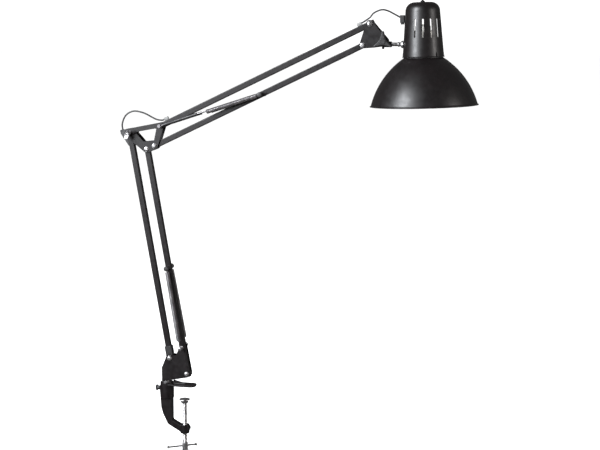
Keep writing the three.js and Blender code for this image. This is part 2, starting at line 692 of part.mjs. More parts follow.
// The wall is one arc from the collar to the rim, SHADE_BULGE proud of its chord, and SHEET thick
const COLLAR_POINT = [31.2, SHADE_TOP + 0.4];
const RIM_POINT = [SHADE_R - 1.8, SHADE_RIM + 2];
function wallArc(inset, steps) {
	const [dr, dz] = [RIM_POINT[0] - COLLAR_POINT[0], RIM_POINT[1] - COLLAR_POINT[1]];
	const half = Math.hypot(dr, dz) / 2;
	const radius = (half * half + SHADE_BULGE * SHADE_BULGE) / (2 * SHADE_BULGE);
	const chord = THREE.MathUtils.radToDeg(Math.atan2(dz, dr));
	const middle = [COLLAR_POINT[0] + dr / 2, COLLAR_POINT[1] + dz / 2];
	const centre = along(middle, chord + 90, SHADE_BULGE - radius);
	const spread = THREE.MathUtils.radToDeg(Math.asin(half / radius));
	return arc(centre, radius - inset, chord + 90 + spread, chord + 90 - spread, steps);
}
const shadeOuter = [...wallArc(0, 8), [SHADE_R, SHADE_RIM + 1.2], [SHADE_R, SHADE_RIM]];
const shadeInner = [
	...wallArc(SHEET, 8).filter(([, z]) => z < SHADE_TOP - 3.2).reverse(),
	[34, SHADE_TOP - 3.2],
	[24, SHADE_TOP - 3.2],
	[24, SHADE_TOP - 2],
	[30, SHADE_TOP - 2],
	COLLAR_POINT,
];
part('shade', 'black_paint', lathe([...shadeOuter, ...shadeInner].reverse(), 40), head);
// The shade's inner lip is held between the lampholder's flange and a ring on the lampholder's skirt
part('shade_ring', 'black_plastic', lathe([
	[HOLDER_R + GAP, SHADE_TOP - 5.2],
	[27, SHADE_TOP - 5.2],
	[27, SHADE_TOP - 3.5],
	[HOLDER_R + GAP, SHADE_TOP - 3.5],
	[HOLDER_R + GAP, SHADE_TOP - 5.2],
], 28), head);
part('lampholder', 'ceramic', lathe([
	[0, -6],
	[CAP_R + GAP, -6],
	[CAP_R + GAP, -30],
	[HOLDER_R, -30],
	[HOLDER_R, SHADE_TOP - 1.6],
	[29.4, SHADE_TOP - 1.6],
	[29.4, SHADE_TOP + 3],
	[HOLDER_R, SHADE_TOP + 3],
	[HOLDER_R, 20],
	[12, 22],
	[12, 28],
	[9, 31],
	[0, 31],
], 28), head);
// A hollow bulb, open at the pip in its cap
const BULB_CENTRE = [0, -92 + BULB_R];
const bulbOuter = [
	...arc(BULB_CENTRE, BULB_R, -90, 34, 8),
	[BULB_NECK, -33],
	[CAP_R, -31],
	[CAP_R, -9],
	[5, -6.6],
];
const bulbInner = [
	[BULB_NECK - SHEET, -33 - SHEET],
	...arc(BULB_CENTRE, BULB_R - SHEET, 34, -90, 8),
];
const capInner = [
	[2, -6.6],
	[2, -9],
	[CAP_R - SHEET, -10.5],
	[CAP_R - SHEET, -31],
];
part('bulb', 'frosted_glass', lathe([...bulbOuter, ...capInner, ...bulbInner], 20), head);
part('cord_strain_relief', 'black_plastic', cut(
	union(
		box([-wallAt(39) - 7.4, -5, 34.4], [-wallAt(39) - 0.5, 5, 46]),
		box([-wallAt(39) - 6.6, -3, 31.6], [-wallAt(39) - 1.5, 3, 35]),
		rod(2.3, [-wallAt(39) - 2, 0, 38], [-wallAt(39) + 5, 0, 38])
	),
	rod(CORD_R + GAP, [-wallAt(39) - 10, 0, 44.6], [-wallAt(39) - 4, 0, 41.4], 10)
), head);

// ---- Cord loops -------------------------------------------------------------------------------------
function cord(points) {
	const path = new THREE.CatmullRomCurve3(points.map(([x, z]) => new THREE.Vector3(x, 0, z)));
	const section = new THREE.Shape(circle(0, 0, CORD_R, 8));
	return new THREE.ExtrudeGeometry(section, { steps: 24, bevelEnabled: false, extrudePath: path });
}
// The elbow loop goes up out of the lower bar's boot, over the elbow, and down into the upper bar's sleeve
const SLEEVE_H = 7.4; // the cord's height over the upper bar's axis, in its sleeves
const BOOT_H = 12; // and over the lower bar's axis, in the boot
const fromPivot = (pivot, offsets) => offsets.map((offset) => add2(pivot, offset));
const ELBOW_LOOP = [
	onBar(LOWER_LEFT_PIVOT, LOWER_ANGLE, ARM + 8.5, BOOT_H),
	...fromPivot(ELBOW_LEFT, [[-14, 13], [-12, 21], [-8, 28], [-2, 33], [7, 36], [17, 35]]),
	...fromPivot(ELBOW_LEFT, [[27, 32], [37, 27], [46, 23]]),
	onBar(UPPER_TOP_PIVOT, UPPER_ANGLE, 4, SLEEVE_H + 0.5),
	onBar(UPPER_TOP_PIVOT, UPPER_ANGLE, 8.4, SLEEVE_H),
];
// The head loop comes out of the far sleeve, rises over the head bracket and ends in the cup's relief
const HEAD_LOOP = [
	onBar(UPPER_TOP_PIVOT, UPPER_ANGLE, 370.6, SLEEVE_H),
	onBar(UPPER_TOP_PIVOT, UPPER_ANGLE, 376, SLEEVE_H + 0.5),
	...fromPivot(HEAD_TOP, [[-1, 10], [4, 16], [11, 20], [19, 22], [28, 20], [36, 16]]),
	onBar([HEAD_X, STEM_Z], HEAD_TIP, -wallAt(39) - 8, 43.2),
];
part('elbow_cord_loop', 'cord_rubber', cord(ELBOW_LOOP));
part('head_cord_loop', 'cord_rubber', cord(HEAD_LOOP));

// Sleeves that the cord goes into on the top face of the upper bar
function sleeve(low, high) {
	return cut(
		union(
			rod(CORD_R + 1.1, [low, 0, SLEEVE_H], [high, 0, SLEEVE_H], 10),
			box([low, -2, HALF + GAP], [high, 2, HALF + 1.6])
		),
		rod(CORD_R + 0.2, [low - 3, 0, SLEEVE_H], [high + 3, 0, SLEEVE_H], 10)
	);
}
part('cord_clip_elbow', 'grey_plastic', sleeve(9, 16), upperTop);
part('cord_clip_head', 'grey_plastic', sleeve(362, 370), upperTop);

// Boot on the lower bar's left face: the cord comes out of the tube into it, and up out of its top
const boot = belt([
	[ARM - 20, HALF + 0.9, 0.6],
	[ARM + 6.6, HALF + 0.9, 0.6],
	[ARM + 6, HALF + 10, 1.4],
	[ARM + 1.5, HALF + 10, 1.4],
]);
part('elbow_cord_guide', 'black_plastic', cut(
	slab(boot, -2.8, 2.8),
	rod(CORD_R + 0.2, [ARM - 4, 0, BOOT_H], [ARM + 12, 0, BOOT_H], 10)
), lowerLeft);

export default lamp;
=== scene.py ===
import json
import math

import bmesh
import bpy
from mathutils import Matrix, Vector


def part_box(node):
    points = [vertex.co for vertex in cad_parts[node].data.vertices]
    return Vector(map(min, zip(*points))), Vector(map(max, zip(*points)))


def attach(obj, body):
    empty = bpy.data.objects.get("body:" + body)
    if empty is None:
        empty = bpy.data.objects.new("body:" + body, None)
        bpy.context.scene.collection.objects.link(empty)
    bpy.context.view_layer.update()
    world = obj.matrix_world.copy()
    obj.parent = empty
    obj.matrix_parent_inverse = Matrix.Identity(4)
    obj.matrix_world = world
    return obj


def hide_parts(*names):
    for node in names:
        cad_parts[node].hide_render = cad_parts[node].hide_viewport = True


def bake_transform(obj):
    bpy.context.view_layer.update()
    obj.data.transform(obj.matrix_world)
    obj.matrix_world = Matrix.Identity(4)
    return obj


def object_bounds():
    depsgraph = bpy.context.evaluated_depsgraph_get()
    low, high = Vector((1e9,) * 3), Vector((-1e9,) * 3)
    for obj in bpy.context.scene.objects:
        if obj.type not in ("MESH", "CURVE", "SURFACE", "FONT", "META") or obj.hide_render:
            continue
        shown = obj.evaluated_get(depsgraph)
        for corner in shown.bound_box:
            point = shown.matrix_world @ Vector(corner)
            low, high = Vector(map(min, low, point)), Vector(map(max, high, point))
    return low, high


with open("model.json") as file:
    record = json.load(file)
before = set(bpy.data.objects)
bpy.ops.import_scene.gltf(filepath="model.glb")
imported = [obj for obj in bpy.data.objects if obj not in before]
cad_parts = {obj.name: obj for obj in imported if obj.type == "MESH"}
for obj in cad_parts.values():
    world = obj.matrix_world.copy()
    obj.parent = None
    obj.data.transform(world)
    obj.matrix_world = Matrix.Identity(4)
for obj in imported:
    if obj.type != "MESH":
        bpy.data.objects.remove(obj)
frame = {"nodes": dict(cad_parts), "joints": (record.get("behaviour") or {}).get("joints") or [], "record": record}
CAD_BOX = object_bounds()
scene = bpy.context.scene
MM = 0.001
IDENTITY = Matrix.Identity(4)

# ---- Places from the frame ---------------------------------------------------------------------------
PIVOT = {j["name"]: Vector(j["pos_m"]) / MM for j in frame["joints"] if "pos_m" in j}
BODY_OF = {n: b for b, ns in frame["record"]["behaviour"]["bodies"].items() for n in ns}


def middle(node):
    low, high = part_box(node)
    return (low + high) / 2 / MM


def span(node, axis):
    """Where a node begins and ends along x, y or z."""
    low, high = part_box(node)
    k = "xyz".index(axis)
    return low[k] / MM, high[k] / MM


LOWER_LEFT = PIVOT["lower_arm_swing"]
LOWER_RIGHT = PIVOT["lower_right_bar_swing"]
ELBOW_LEFT = PIVOT["elbow_level"]
ELBOW_RIGHT = middle("elbow_bolt_lower")
UPPER_TOP = PIVOT["upper_arm_swing"]
UPPER_BOTTOM = PIVOT["upper_bottom_bar_swing"]
HEAD_TOP = PIVOT["head_level"]
HEAD_BOTTOM = middle("head_bolt_bottom")
TILT = PIVOT["head_tilt"]
LOWER_ANCHOR = PIVOT["lower_spring_rod_swing"]
LOWER_COLLAR = PIVOT["lower_spring_coil_swing"]
UPPER_COLLAR = PIVOT["upper_spring_coil_swing"]
STEM_Z = PIVOT["shade_swivel"].z
POST_X = PIVOT["base_swivel"].x
LOWER_WAY = (ELBOW_LEFT - LOWER_LEFT).normalized()
UPPER_WAY = (HEAD_TOP - UPPER_TOP).normalized()
ARM = (ELBOW_LEFT - LOWER_LEFT).length

# ---- Sizes -------------------------------------------------------------------------------------------
BAR = 9  # square tubes
BAR_WALL = 1
BAR_ROUND = 1.1
BORE_ROUND = 0.4
PLATE_IN = 5.8  # side plates lie between these distances from the middle plane
PLATE_OUT = 7.4
GAP = 0.3
POST_R = 5
BOLT_R = 2
HOLE_R = BOLT_R + GAP
STUD_R = 1.8  # the spring studs and the long anchor bolt
THREAD = 0.28, 0.7  # depth and pitch of the bolts' thread
NUT_END = 4.3  # thread past the back plate
SCREW_THREAD = 0.7, 2  # and of the clamp screw
HEAD_X = 393.3  # the shade's axis, where the stem's axis crosses it
HEAD_TIP = math.radians(1.8)
STEM_LIFT = 31.2 * math.sin(HEAD_TIP)  # the level stem meets the tipped cup this far up it
CORD_R = 1.3
SLEEVE_H = 7.4  # the cord over the upper bar's axis, in its sleeves
BOOT_H = 12  # and over the lower bar's axis, in the boot
CORD_STEPS = 8  # points for each span of a cord's route

# Springs: a coil hangs from a bolt on its bar, and a rod runs into it from a stud
WIRE_R = 0.56
COIL_R = 3.6
ROD_R = 0.75
LOWER_COIL = 118
UPPER_COIL = 88
EYE = 5  # from the bolt's axis to the first close turn
ROD_IN_COIL = 24
UPPER_BIAS = math.radians(0.5)
LOWER_EYE_Y = 17  # distances of the springs from the middle plane
LOWER_COLLAR_Y = 12.5
UPPER_EYE_Y = 13

# Head, in its own tipped frame: z up its axis, 0 at the stem
SHEET = 1
CUP_BOTTOM = -19.5
CUP_STRAIGHT = 50  # the wall tapers evenly up to here
CUP_TOP = 65
CUP_FOOT_R = 32.2
CUP_TOP_R = 26.9
CUP_CORNER = 14
SLOTS = 10
SLOTS_ROUND = 14  # as many would go all round at the slots' pitch
SHADE_TOP = -21
SHADE_RIM = -95
SHADE_BULGE = 8
COLLAR_POINT = Vector((31.2, SHADE_TOP + 0.4))
RIM_POINT = Vector((83.2, SHADE_RIM + 2))
BULB_R = 29
BULB_END = -92
HOLDER_R = 19
CORD_ENTRY = 39  # height of the strain relief on the cup


# ---- Mesh helpers ------------------------------------------------------------------------------------
def make(name, verts, faces, place=IDENTITY):
    mesh = bpy.data.meshes.new(name)
    mesh.from_pydata([tuple((place @ Vector(v)) * MM) for v in verts], [], faces)
    outward(mesh)
    obj = bpy.data.objects.new(name, mesh)
    scene.collection.objects.link(obj)
    return obj


def outward(mesh):
    bm = bmesh.new()
    bm.from_mesh(mesh)
    bmesh.ops.recalc_face_normals(bm, faces=bm.faces)
    bm.to_mesh(mesh)
    bm.free()


def bake(obj):
    """Applies obj's modifiers to its mesh."""
    graph = bpy.context.evaluated_depsgraph_get()
    mesh = bpy.data.meshes.new_from_object(obj.evaluated_get(graph))
    obj.modifiers.clear()
    old, obj.data = obj.data, mesh
    bpy.data.meshes.remove(old)
    return obj


def drop(obj):
    mesh = obj.data
    bpy.data.objects.remove(obj)
    bpy.data.meshes.remove(mesh)


def combine(obj, tools, operation):
    for tool in tools:
        step = obj.modifiers.new("shape", "BOOLEAN")
        step.operation = operation
        step.object = tool
        step.solver = "EXACT"
        bake(obj)
        drop(tool)
    return obj


def cut(obj, *tools):
    return combine(obj, tools, "DIFFERENCE")


def weld(obj, *others):
    return combine(obj, others, "UNION")


def together(name, parts):
    """One object of several separate closed shells."""
    bm = bmesh.new()
    for part in parts:
        bm.from_mesh(part.data)
    mesh = bpy.data.meshes.new(name)
    bm.to_mesh(mesh)
    bm.free()
    for part in parts:
        drop(part)
    obj = bpy.data.objects.new(name, mesh)
    scene.collection.objects.link(obj)
    return obj


def bevel(obj, width, segments=2, angle=35):
    step = obj.modifiers.new("edge", "BEVEL")
    step.width = width * MM
    step.segments = segments
    step.limit_method = "ANGLE"
    step.angle_limit = math.radians(angle)
    step.use_clamp_overlap = True
    return bake(obj)


def soften(obj, voxel, rounds):
    """Rounds a solid's corners as a casting or a moulding has them."""
    remesh = obj.modifiers.new("voxels", "REMESH")
    remesh.mode = "VOXEL"
    remesh.voxel_size = voxel * MM
    smooth = obj.modifiers.new("smooth", "SMOOTH")
    smooth.factor = 0.5
    smooth.iterations = rounds
    return bake(obj)


def shade(obj, angle=38):
    mesh = obj.data
    mesh.polygons.foreach_set("use_smooth", [True] * len(mesh.polygons))
    mesh.set_sharp_from_angle(angle=math.radians(angle))
    return obj


def flatten(obj, angle=38):
    """Keeps flat faces evenly shaded up to their rounded edges."""
    shade(obj, angle)
    step = obj.modifiers.new("weights", "WEIGHTED_NORMAL")
    step.keep_sharp = True
    return bake(obj)


def circle(x, y, r, sides=32):
    turn = 2 * math.pi / sides
    return [(x + r * math.cos(turn * k), y + r * math.sin(turn * k)) for k in range(sides)]


def arc(centre, radius, start, end, steps):
    """Points (r, z) on a circle about centre, between two angles in degrees."""
    turns = [math.radians(start + (end - start) * k / steps) for k in range(steps + 1)]
    return [(centre[0] + radius * math.cos(a), centre[1] + radius * math.sin(a)) for a in turns]


def belt(circles, step=7):
    """A closed outline round circles (x, y, r) in turn, anticlockwise; a negative r is a hollow corner.

    step is the most that one edge of it turns, in degrees.
    """
    normals = []
    for i, (x, y, r) in enumerate(circles):
        nx, ny, nr = circles[(i + 1) % len(circles)]
        lean = math.asin((nr - r) / math.hypot(nx - x, ny - y))
        normals.append(math.atan2(ny - y, nx - x) + math.pi / 2 - lean)
    points = []
    for i, (x, y, r) in enumerate(circles):
        turn = (normals[i] - normals[i - 1] + math.pi) % (2 * math.pi) - math.pi
        if abs(turn) > 0.9 * math.pi and turn * r < 0:
            turn += math.copysign(2 * math.pi, r)
        steps = max(1, math.ceil(abs(math.degrees(turn)) / step))
        for k in range(steps + 1):
            a = normals[i - 1] + turn * k / steps
            points.append((x - r * math.cos(a), y - r * math.sin(a)))
    kept = []
    for p in points:
        if not kept or math.dist(p, kept[-1]) > 1e-3:
            kept.append(p)
    return kept


def prism(name, outline, low, high, place=IDENTITY):
    """An outline in local XY, solid from low to high along local Z."""
    n = len(outline)
    verts = [(x, y, low) for x, y in outline] + [(x, y, high) for x, y in outline]
    faces = [[k, (k + 1) % n, n + (k + 1) % n, n + k] for k in range(n)]
    faces += [list(range(n)), list(range(n, 2 * n))]
    return make(name, verts, faces, place)


def lathe(name, profile, place=IDENTITY, sides=48, closed=False):
    """A profile (r, z) turned about local Z. It starts and ends on the axis, or closes on itself."""
    rings, verts, faces = [], [], []
    for r, z in profile:
        count = 1 if r < 1e-6 else sides
        rings.append(range(len(verts), len(verts) + count))
        turn = 2 * math.pi / sides
        verts += [(r * math.cos(turn * k), r * math.sin(turn * k), z) for k in range(count)]
    followers = rings[1:] + ([rings[0]] if closed else [])
    for a, b in zip(rings, followers):
        for k in range(sides):
            n = (k + 1) % sides
            corners = [a[k % len(a)], a[n % len(a)], b[n % len(b)], b[k % len(b)]]
            corners = list(dict.fromkeys(corners))
            if len(corners) > 2:
                faces.append(corners)
    return make(name, verts, faces, place)


def rod(name, radius, low, high, place=IDENTITY, chamfer=0.3, sides=32):
    flat = radius - chamfer
    edge = [(flat, low), (radius, low + chamfer), (radius, high - chamfer), (flat, high)]
    return lathe(name, [(0, low), *edge, (0, high)], place, sides)


def drill(radius, low, high, place, sides=24):
    """A plain cylinder to cut a hole with."""
    return rod("hole", radius, low, high, place, 0.01, sides)


def bored(name, radius, bore, low, high, place=IDENTITY, chamfer=0.2, sides=32):
    """A ring or washer with its outer edges broken."""
    flat = radius - chamfer
    edge = [(flat, low), (radius, low + chamfer), (radius, high - chamfer), (flat, high)]
    return lathe(name, [(bore, low), *edge, (bore, high)], place, sides, closed=True)


def mirrored(half):
    """A profile from the middle of the lamp outwards, with its mirror image before it."""
    return [(r, -z) for r, z in reversed(half)][:-1] + half[1:]


def threaded(name, radius, depth, pitch, low, high, place=IDENTITY, sides=24):
    """A rod with a real helical thread, its ends run out to the core."""
    rows_per_turn = 6
    rows = max(3, round((high - low) / pitch * rows_per_turn))
    verts, faces = [(0, 0, low)], []
    for j in range(rows + 1):
        z = low + (high - low) * j / rows
        ease = min(1, (z - low) / pitch, (high - z) / pitch)
        for k in range(sides):
            phase = (z / pitch - k / sides) % 1
            r = radius - depth * (1 - ease * (1 - abs(2 * phase - 1)))
            a = 2 * math.pi * k / sides
            verts.append((r * math.cos(a), r * math.sin(a), z))
    verts.append((0, 0, high))
    for k in range(sides):
        n = (k + 1) % sides
        faces.append([0, 1 + k, 1 + n])
        for j in range(rows):
            a = 1 + j * sides
            faces.append([a + k, a + n, a + sides + n, a + sides + k])
        last = 1 + rows * sides
        faces.append([len(verts) - 1, last + k, last + n])
    return make(name, verts, faces, place)


def curve(points, per_span):
    """A smooth line through points (Catmull-Rom)."""
    line = [Vector(p) for p in points]
    ends = [2 * line[0] - line[1]] + line + [2 * line[-1] - line[-2]]
    out = []
    for i in range(1, len(ends) - 2):
        a, b, c, d = ends[i - 1 : i + 3]
        square, cube = 2 * a - 5 * b + 4 * c - d, 3 * b - a - 3 * c + d
        for k in range(per_span):
            t = k / per_span
            out.append(0.5 * (2 * b + (c - a) * t + square * t * t + cube * t**3))
    return out + [line[-1]]


def sweep(name, line, radius, sides):
    """A round wire along a line of points, with flat ends."""
    verts, faces = [], []
    normal = None
    for i, p in enumerate(line):
        way = (line[min(i + 1, len(line) - 1)] - line[max(i - 1, 0)]).normalized()
        if normal is None:
            normal = way.orthogonal().normalized()
        normal = (normal - way * normal.dot(way)).normalized()
        side = way.cross(normal)
        for k in range(sides):
            a = 2 * math.pi * k / sides
            verts.append(p + radius * (math.cos(a) * normal + math.sin(a) * side))
    for i in range(len(line) - 1):
        for k in range(sides):
            n = (k + 1) % sides
            a = i * sides
            faces.append([a + k, a + n, a + sides + n, a + sides + k])
    last = (len(line) - 1) * sides
    faces += [list(range(sides)), list(range(last, last + sides))]
    return make(name, verts, faces)


def like_cad(node, name):
    """A working copy of a CAD node's own mesh, with its flat faces whole again."""
    mesh = frame["nodes"][node].data.copy()
    mesh.name = name
    mesh.materials.clear()
    bm = bmesh.new()
    bm.from_mesh(mesh)
    bmesh.ops.remove_doubles(bm, verts=bm.verts, dist=0.01 * MM)
    bmesh.ops.dissolve_limit(bm, angle_limit=math.radians(1), verts=bm.verts, edges=bm.edges)
    bm.to_mesh(mesh)
    bm.free()
    obj = bpy.data.objects.new(name, mesh)
    scene.collection.objects.link(obj)
    return obj


# Local frames. ACROSS lays local xy in the side view, and local z points to the front, -Y.
ACROSS = Matrix(((1, 0, 0, 0), (0, 0, -1, 0), (0, 1, 0, 0), (0, 0, 0, 1)))
FLIP = Matrix.Rotation(math.pi, 4, "X")


def at(pivot):
    """ACROSS at a pivot, in the middle plane."""
    return Matrix.Translation((pivot.x, 0, pivot.z)) @ ACROSS


def along(start, way):
    """Local z runs along way from start, local y across the arms."""
    z = Vector(way).normalized()
    y_axis = Vector((0, 1, 0))
    y_axis = (y_axis - z * y_axis.dot(z)).normalized()
    x = y_axis.cross(z)
    turn = Matrix((x, y_axis, z)).transposed().to_4x4()
    return Matrix.Translation(start) @ turn


def level(x, z, side=1):
    """Local z runs along x from (x, z) in the middle plane, or back along it with side -1."""
    return along(Vector((x, 0, z)), (side, 0, 0))


HEAD = Matrix.Translation((HEAD_X, 0, STEM_Z)) @ Matrix.Rotation(-HEAD_TIP, 4, "Y")


# ---- Materials ---------------------------------------------------------------------------------------
def blank(name):
    material = bpy.data.materials.new(name)
    material.use_nodes = True
    nodes = material.node_tree.nodes
    return material, nodes, material.node_tree.links, nodes["Principled BSDF"]


def noise(nodes, links, scale, detail=3, stretch=None):
    """Noise in the piece's own metres; scale is in blobs per metre."""
    place = nodes.new("ShaderNodeTexCoord")
    texture = nodes.new("ShaderNodeTexNoise")
    texture.inputs["Scale"].default_value = scale
    texture.inputs["Detail"].default_value = detail
    source = place.outputs["Object"]
    if stretch:
        mapping = nodes.new("ShaderNodeMapping")
        mapping.inputs["Scale"].default_value = stretch
        links.new(source, mapping.inputs["Vector"])
        source = mapping.outputs["Vector"]
    links.new(source, texture.inputs["Vector"])
    return texture.outputs["Fac"]


def spread(nodes, links, source, low, high, middle_low=0.35, middle_high=0.65):
    step = nodes.new("ShaderNodeMapRange")
    step.inputs["From Min"].default_value = middle_low
    step.inputs["From Max"].default_value = middle_high
    step.inputs["To Min"].default_value = low
    step.inputs["To Max"].default_value = high
    links.new(source, step.inputs["Value"])
    return step.outputs["Result"]


def two_tone(nodes, links, source, dark, light):
    mix = nodes.new("ShaderNodeMix")
    mix.data_type = "RGBA"
    mix.inputs["A"].default_value = (*dark, 1)
    mix.inputs["B"].default_value = (*light, 1)
    links.new(source, mix.inputs["Factor"])
    return mix.outputs["Result"]


def relief(nodes, links, bsdf, source, strength, height):
    bump = nodes.new("ShaderNodeBump")
    bump.inputs["Strength"].default_value = strength
    bump.inputs["Distance"].default_value = height * MM
    links.new(source, bump.inputs["Height"])
    links.new(bump.outputs["Normal"], bsdf.inputs["Normal"])


BLOTCHES = 60  # tone patches per metre
GRAIN_H = 0.05


def surface(name, dark, light, rough, metallic, grain, bump, stretch=None, **sockets):
    """A material with patchy tone and roughness, and a grain of so many bumps per metre."""
    material, nodes, links, bsdf = blank(name)
    patches = spread(nodes, links, noise(nodes, links, BLOTCHES, 4), 0, 1)
    links.new(two_tone(nodes, links, patches, dark, light), bsdf.inputs["Base Color"])
    smears = noise(nodes, links, BLOTCHES * 2.3)
    links.new(spread(nodes, links, smears, *rough), bsdf.inputs["Roughness"])
    bsdf.inputs["Metallic"].default_value = metallic
    relief(nodes, links, bsdf, noise(nodes, links, grain, 2, stretch), bump, GRAIN_H)
    for socket, value in sockets.items():
        bsdf.inputs[socket.replace("_", " ")].default_value = value
    return material


# Colour mixed into the paint on its sharpest edges, which makes those edges slightly paler
PALER_EDGE = (0.03, 0.025, 0.027, 1)


def edge_paler_paint(name, dark, light, rough, grain, bump, shine):
    """Paint that is slightly paler on its sharpest edges."""
    material = surface(name, dark, light, rough, 0, grain, bump, Specular_IOR_Level=shine)
    nodes, links = material.node_tree.nodes, material.node_tree.links
    bsdf = nodes["Principled BSDF"]
    geometry = nodes.new("ShaderNodeNewGeometry")
    edge = spread(nodes, links, geometry.outputs["Pointiness"], 0, 0.06, 0.56, 0.64)
    painted = bsdf.inputs["Base Color"].links[0].from_socket
    mix = nodes.new("ShaderNodeMix")
    mix.data_type = "RGBA"
    mix.inputs["B"].default_value = PALER_EDGE
    links.new(edge, mix.inputs["Factor"])
    links.new(painted, mix.inputs["A"])
    links.new(mix.outputs["Result"], bsdf.inputs["Base Color"])
    return material


MATERIALS = {
    "black_paint": edge_paler_paint(
        "black_paint", (0.0019, 0.001, 0.0012), (0.0034, 0.0018, 0.0022), (0.36, 0.5), 900, 0.12, 0.32
    ),
    "black_shade_paint": edge_paler_paint(
        "black_shade_paint", (0.0019, 0.001, 0.0012), (0.003, 0.0016, 0.0019), (0.36, 0.44), 700, 0.06, 0.5
    ),
    "bright_steel": surface(
        "bright_steel", (0.4, 0.39, 0.39), (0.6, 0.59, 0.59), (0.24, 0.4), 1, 1600, 0.15, (1, 6, 1)
    ),
    "spring_steel": surface(
        "spring_steel", (0.12, 0.115, 0.12), (0.24, 0.23, 0.235), (0.28, 0.42), 0.9, 1400, 0.1
    ),
    "black_plastic": surface(
        "black_plastic", (0.0045, 0.004, 0.0045), (0.009, 0.008, 0.0085), (0.42, 0.6), 0, 3000, 0.25
    ),
    "grey_plastic": surface(
        "grey_plastic", (0.12, 0.12, 0.12), (0.19, 0.19, 0.185), (0.4, 0.55), 0, 2500, 0.2
    ),
    "white_holder": surface(
        "white_holder", (0.74, 0.72, 0.67), (0.83, 0.81, 0.77), (0.25, 0.4), 0, 500, 0.05
    ),
    "frosted_glass": surface(
        "frosted_glass", (0.86, 0.85, 0.81), (0.92, 0.91, 0.87), (0.3, 0.42), 0, 2600, 0.08,
        Transmission_Weight=0.25,
    ),
    "cord_sheath": surface(
        "cord_sheath", (0.006, 0.006, 0.0065), (0.012, 0.012, 0.0125), (0.4, 0.55), 0, 1800, 0.2
    ),
}


def piece(obj, body, slot, *nodes, smooth=38):
    """Finishes a piece: shading, material, the body it moves with, and the CAD nodes it stands for."""
    flatten(obj, smooth)
    obj.data.materials.clear()
    obj.data.materials.append(MATERIALS[slot])
    if body:
        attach(obj, body)
    if nodes:
        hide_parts(*nodes)
    return obj


def stand_in(obj, slot, node, smooth=38):
    return piece(obj, BODY_OF[node], slot, node, smooth=smooth)


# ---- Camera ------------------------------------------------------------------------------------------
def camera():
    """The photo's view: its place in metres, how far it turns, looks down and leans, in degrees."""
    place, turned, down, lean = (0.6414, -2.0035, 0.5908), 12.47, 8.592, 0.2
    data = bpy.data.cameras.new("camera")
    data.lens = 76.9
    data.sensor_width = 36
    obj = bpy.data.objects.new("camera", data)
    obj.location = place
    aim = Matrix.Rotation(math.radians(turned), 3, "Z") @ Matrix.Rotation(math.radians(90 - down), 3, "X")
    obj.rotation_euler = (aim @ Matrix.Rotation(math.radians(lean), 3, "Z")).to_euler()
    scene.collection.objects.link(obj)
    scene.camera = obj


camera()


# ---- Clamp -------------------------------------------------------------------------------------------
def clamp():
    frame_copy = like_cad("clamp_frame", "clamp_frame_cast")
    stand_in(soften(frame_copy, 0.42, 12), "black_paint", "clamp_frame", smooth=60)

    low, high = span("clamp_screw", "z")
    thread = threaded("clamp_screw_thread", 4, *SCREW_THREAD, low + 14, high, sides=32)
    knob = rod("knob", 4.8, low, low + 14.4, chamfer=0.8)
    bar = middle("tommy_bar")
    bar_turn = math.radians(33)
    bar_way = Vector((math.cos(bar_turn), math.sin(bar_turn), 0))
    hole = rod("hole", 1.8, -9, 9, along(Vector((0, 0, bar.z)), bar_way), sides=24)
    stand_in(together("clamp_screw_fine", [thread, cut(knob, hole)]), "bright_steel", "clamp_screw")

    off_centre = Vector((0, 0, bar.z)) - 5 * bar_way
    length = 52
    knobbed = [(0, 0), (1.4, 0), (2.3, 0.5), (2.6, 1.6), (2.3, 2.7), (1.5, 3.2)]
    profile = knobbed + [(1.5, 3.3), (1.5, length - 3.3)]
    profile += [(r, length - z) for r, z in reversed(knobbed)]
    tommy = lathe("tommy_bar_fine", profile, along(off_centre - length / 2 * bar_way, bar_way), sides=24)
    stand_in(tommy, "bright_steel", "tommy_bar")

    top = span("pressure_pad", "z")[1]
    pad = [
        (0, top - 3), (4.3, top - 3), (4.3, top - 6.5), (5.8, top - 6.5), (6.2, top - 6), (6.3, top - 3.4),
        (7.2, top - 2.2), (9.1, top - 1.2), (9.3, top - 0.8), (9.1, top - 0.2), (8.6, top), (6.2, top),
        (5.9, top - 0.3), (5.6, top), (3.2, top), (2.9, top - 0.3), (2.6, top), (0, top),
    ]
    stand_in(lathe("pressure_pad_fine", pad, sides=64), "bright_steel", "pressure_pad")

    x, z = span("post_thumb_screw", "x")[0], middle("post_thumb_screw").z
    outline = belt([(x + 2.6, z - 2.5, 2.6), (x + 2.6, z + 2.5, 2.6)])
    wing = prism("wing", outline, -1.1, 1.1, ACROSS)
    bridge = rod("bridge", 2.4, 0, 2.4, level(x + 3, z), chamfer=0.2)
    hub = rod("hub", 3.6, 0, 3.5, level(x + 4.8, z), chamfer=0.5)
    shank = rod("shank", 1.9, 0, 9.5, level(x + 5.8, z), chamfer=0.2)
    thumb = soften(weld(wing, bridge, hub, shank), 0.25, 5)
    thumb.name = "post_thumb_screw_fine"
    stand_in(thumb, "black_plastic", "post_thumb_screw", smooth=60)


# ---- Fasteners ---------------------------------------------------------------------------------------
def recess(place, top):
    """A cross recess cut down from a screw head's top."""
    slots = []
    for a, b in ((1.75, 0.38), (0.38, 1.75)):
        slots.append(prism("recess", [(-a, -b), (a, -b), (a, b), (-a, b)], top - 1.1, top + 1, place))
    return weld(*slots)


def pan_head(place, face):
    top = face + 2.45
    profile = [
        (0, face), (3.55, face), (3.8, face + 0.2), (3.8, face + 1.1), (3.6, face + 1.7),
        (3.1, face + 2.15), (2.2, face + 2.38), (0, top),
    ]
    return cut(lathe("head", profile, place, 40), recess(place, top))


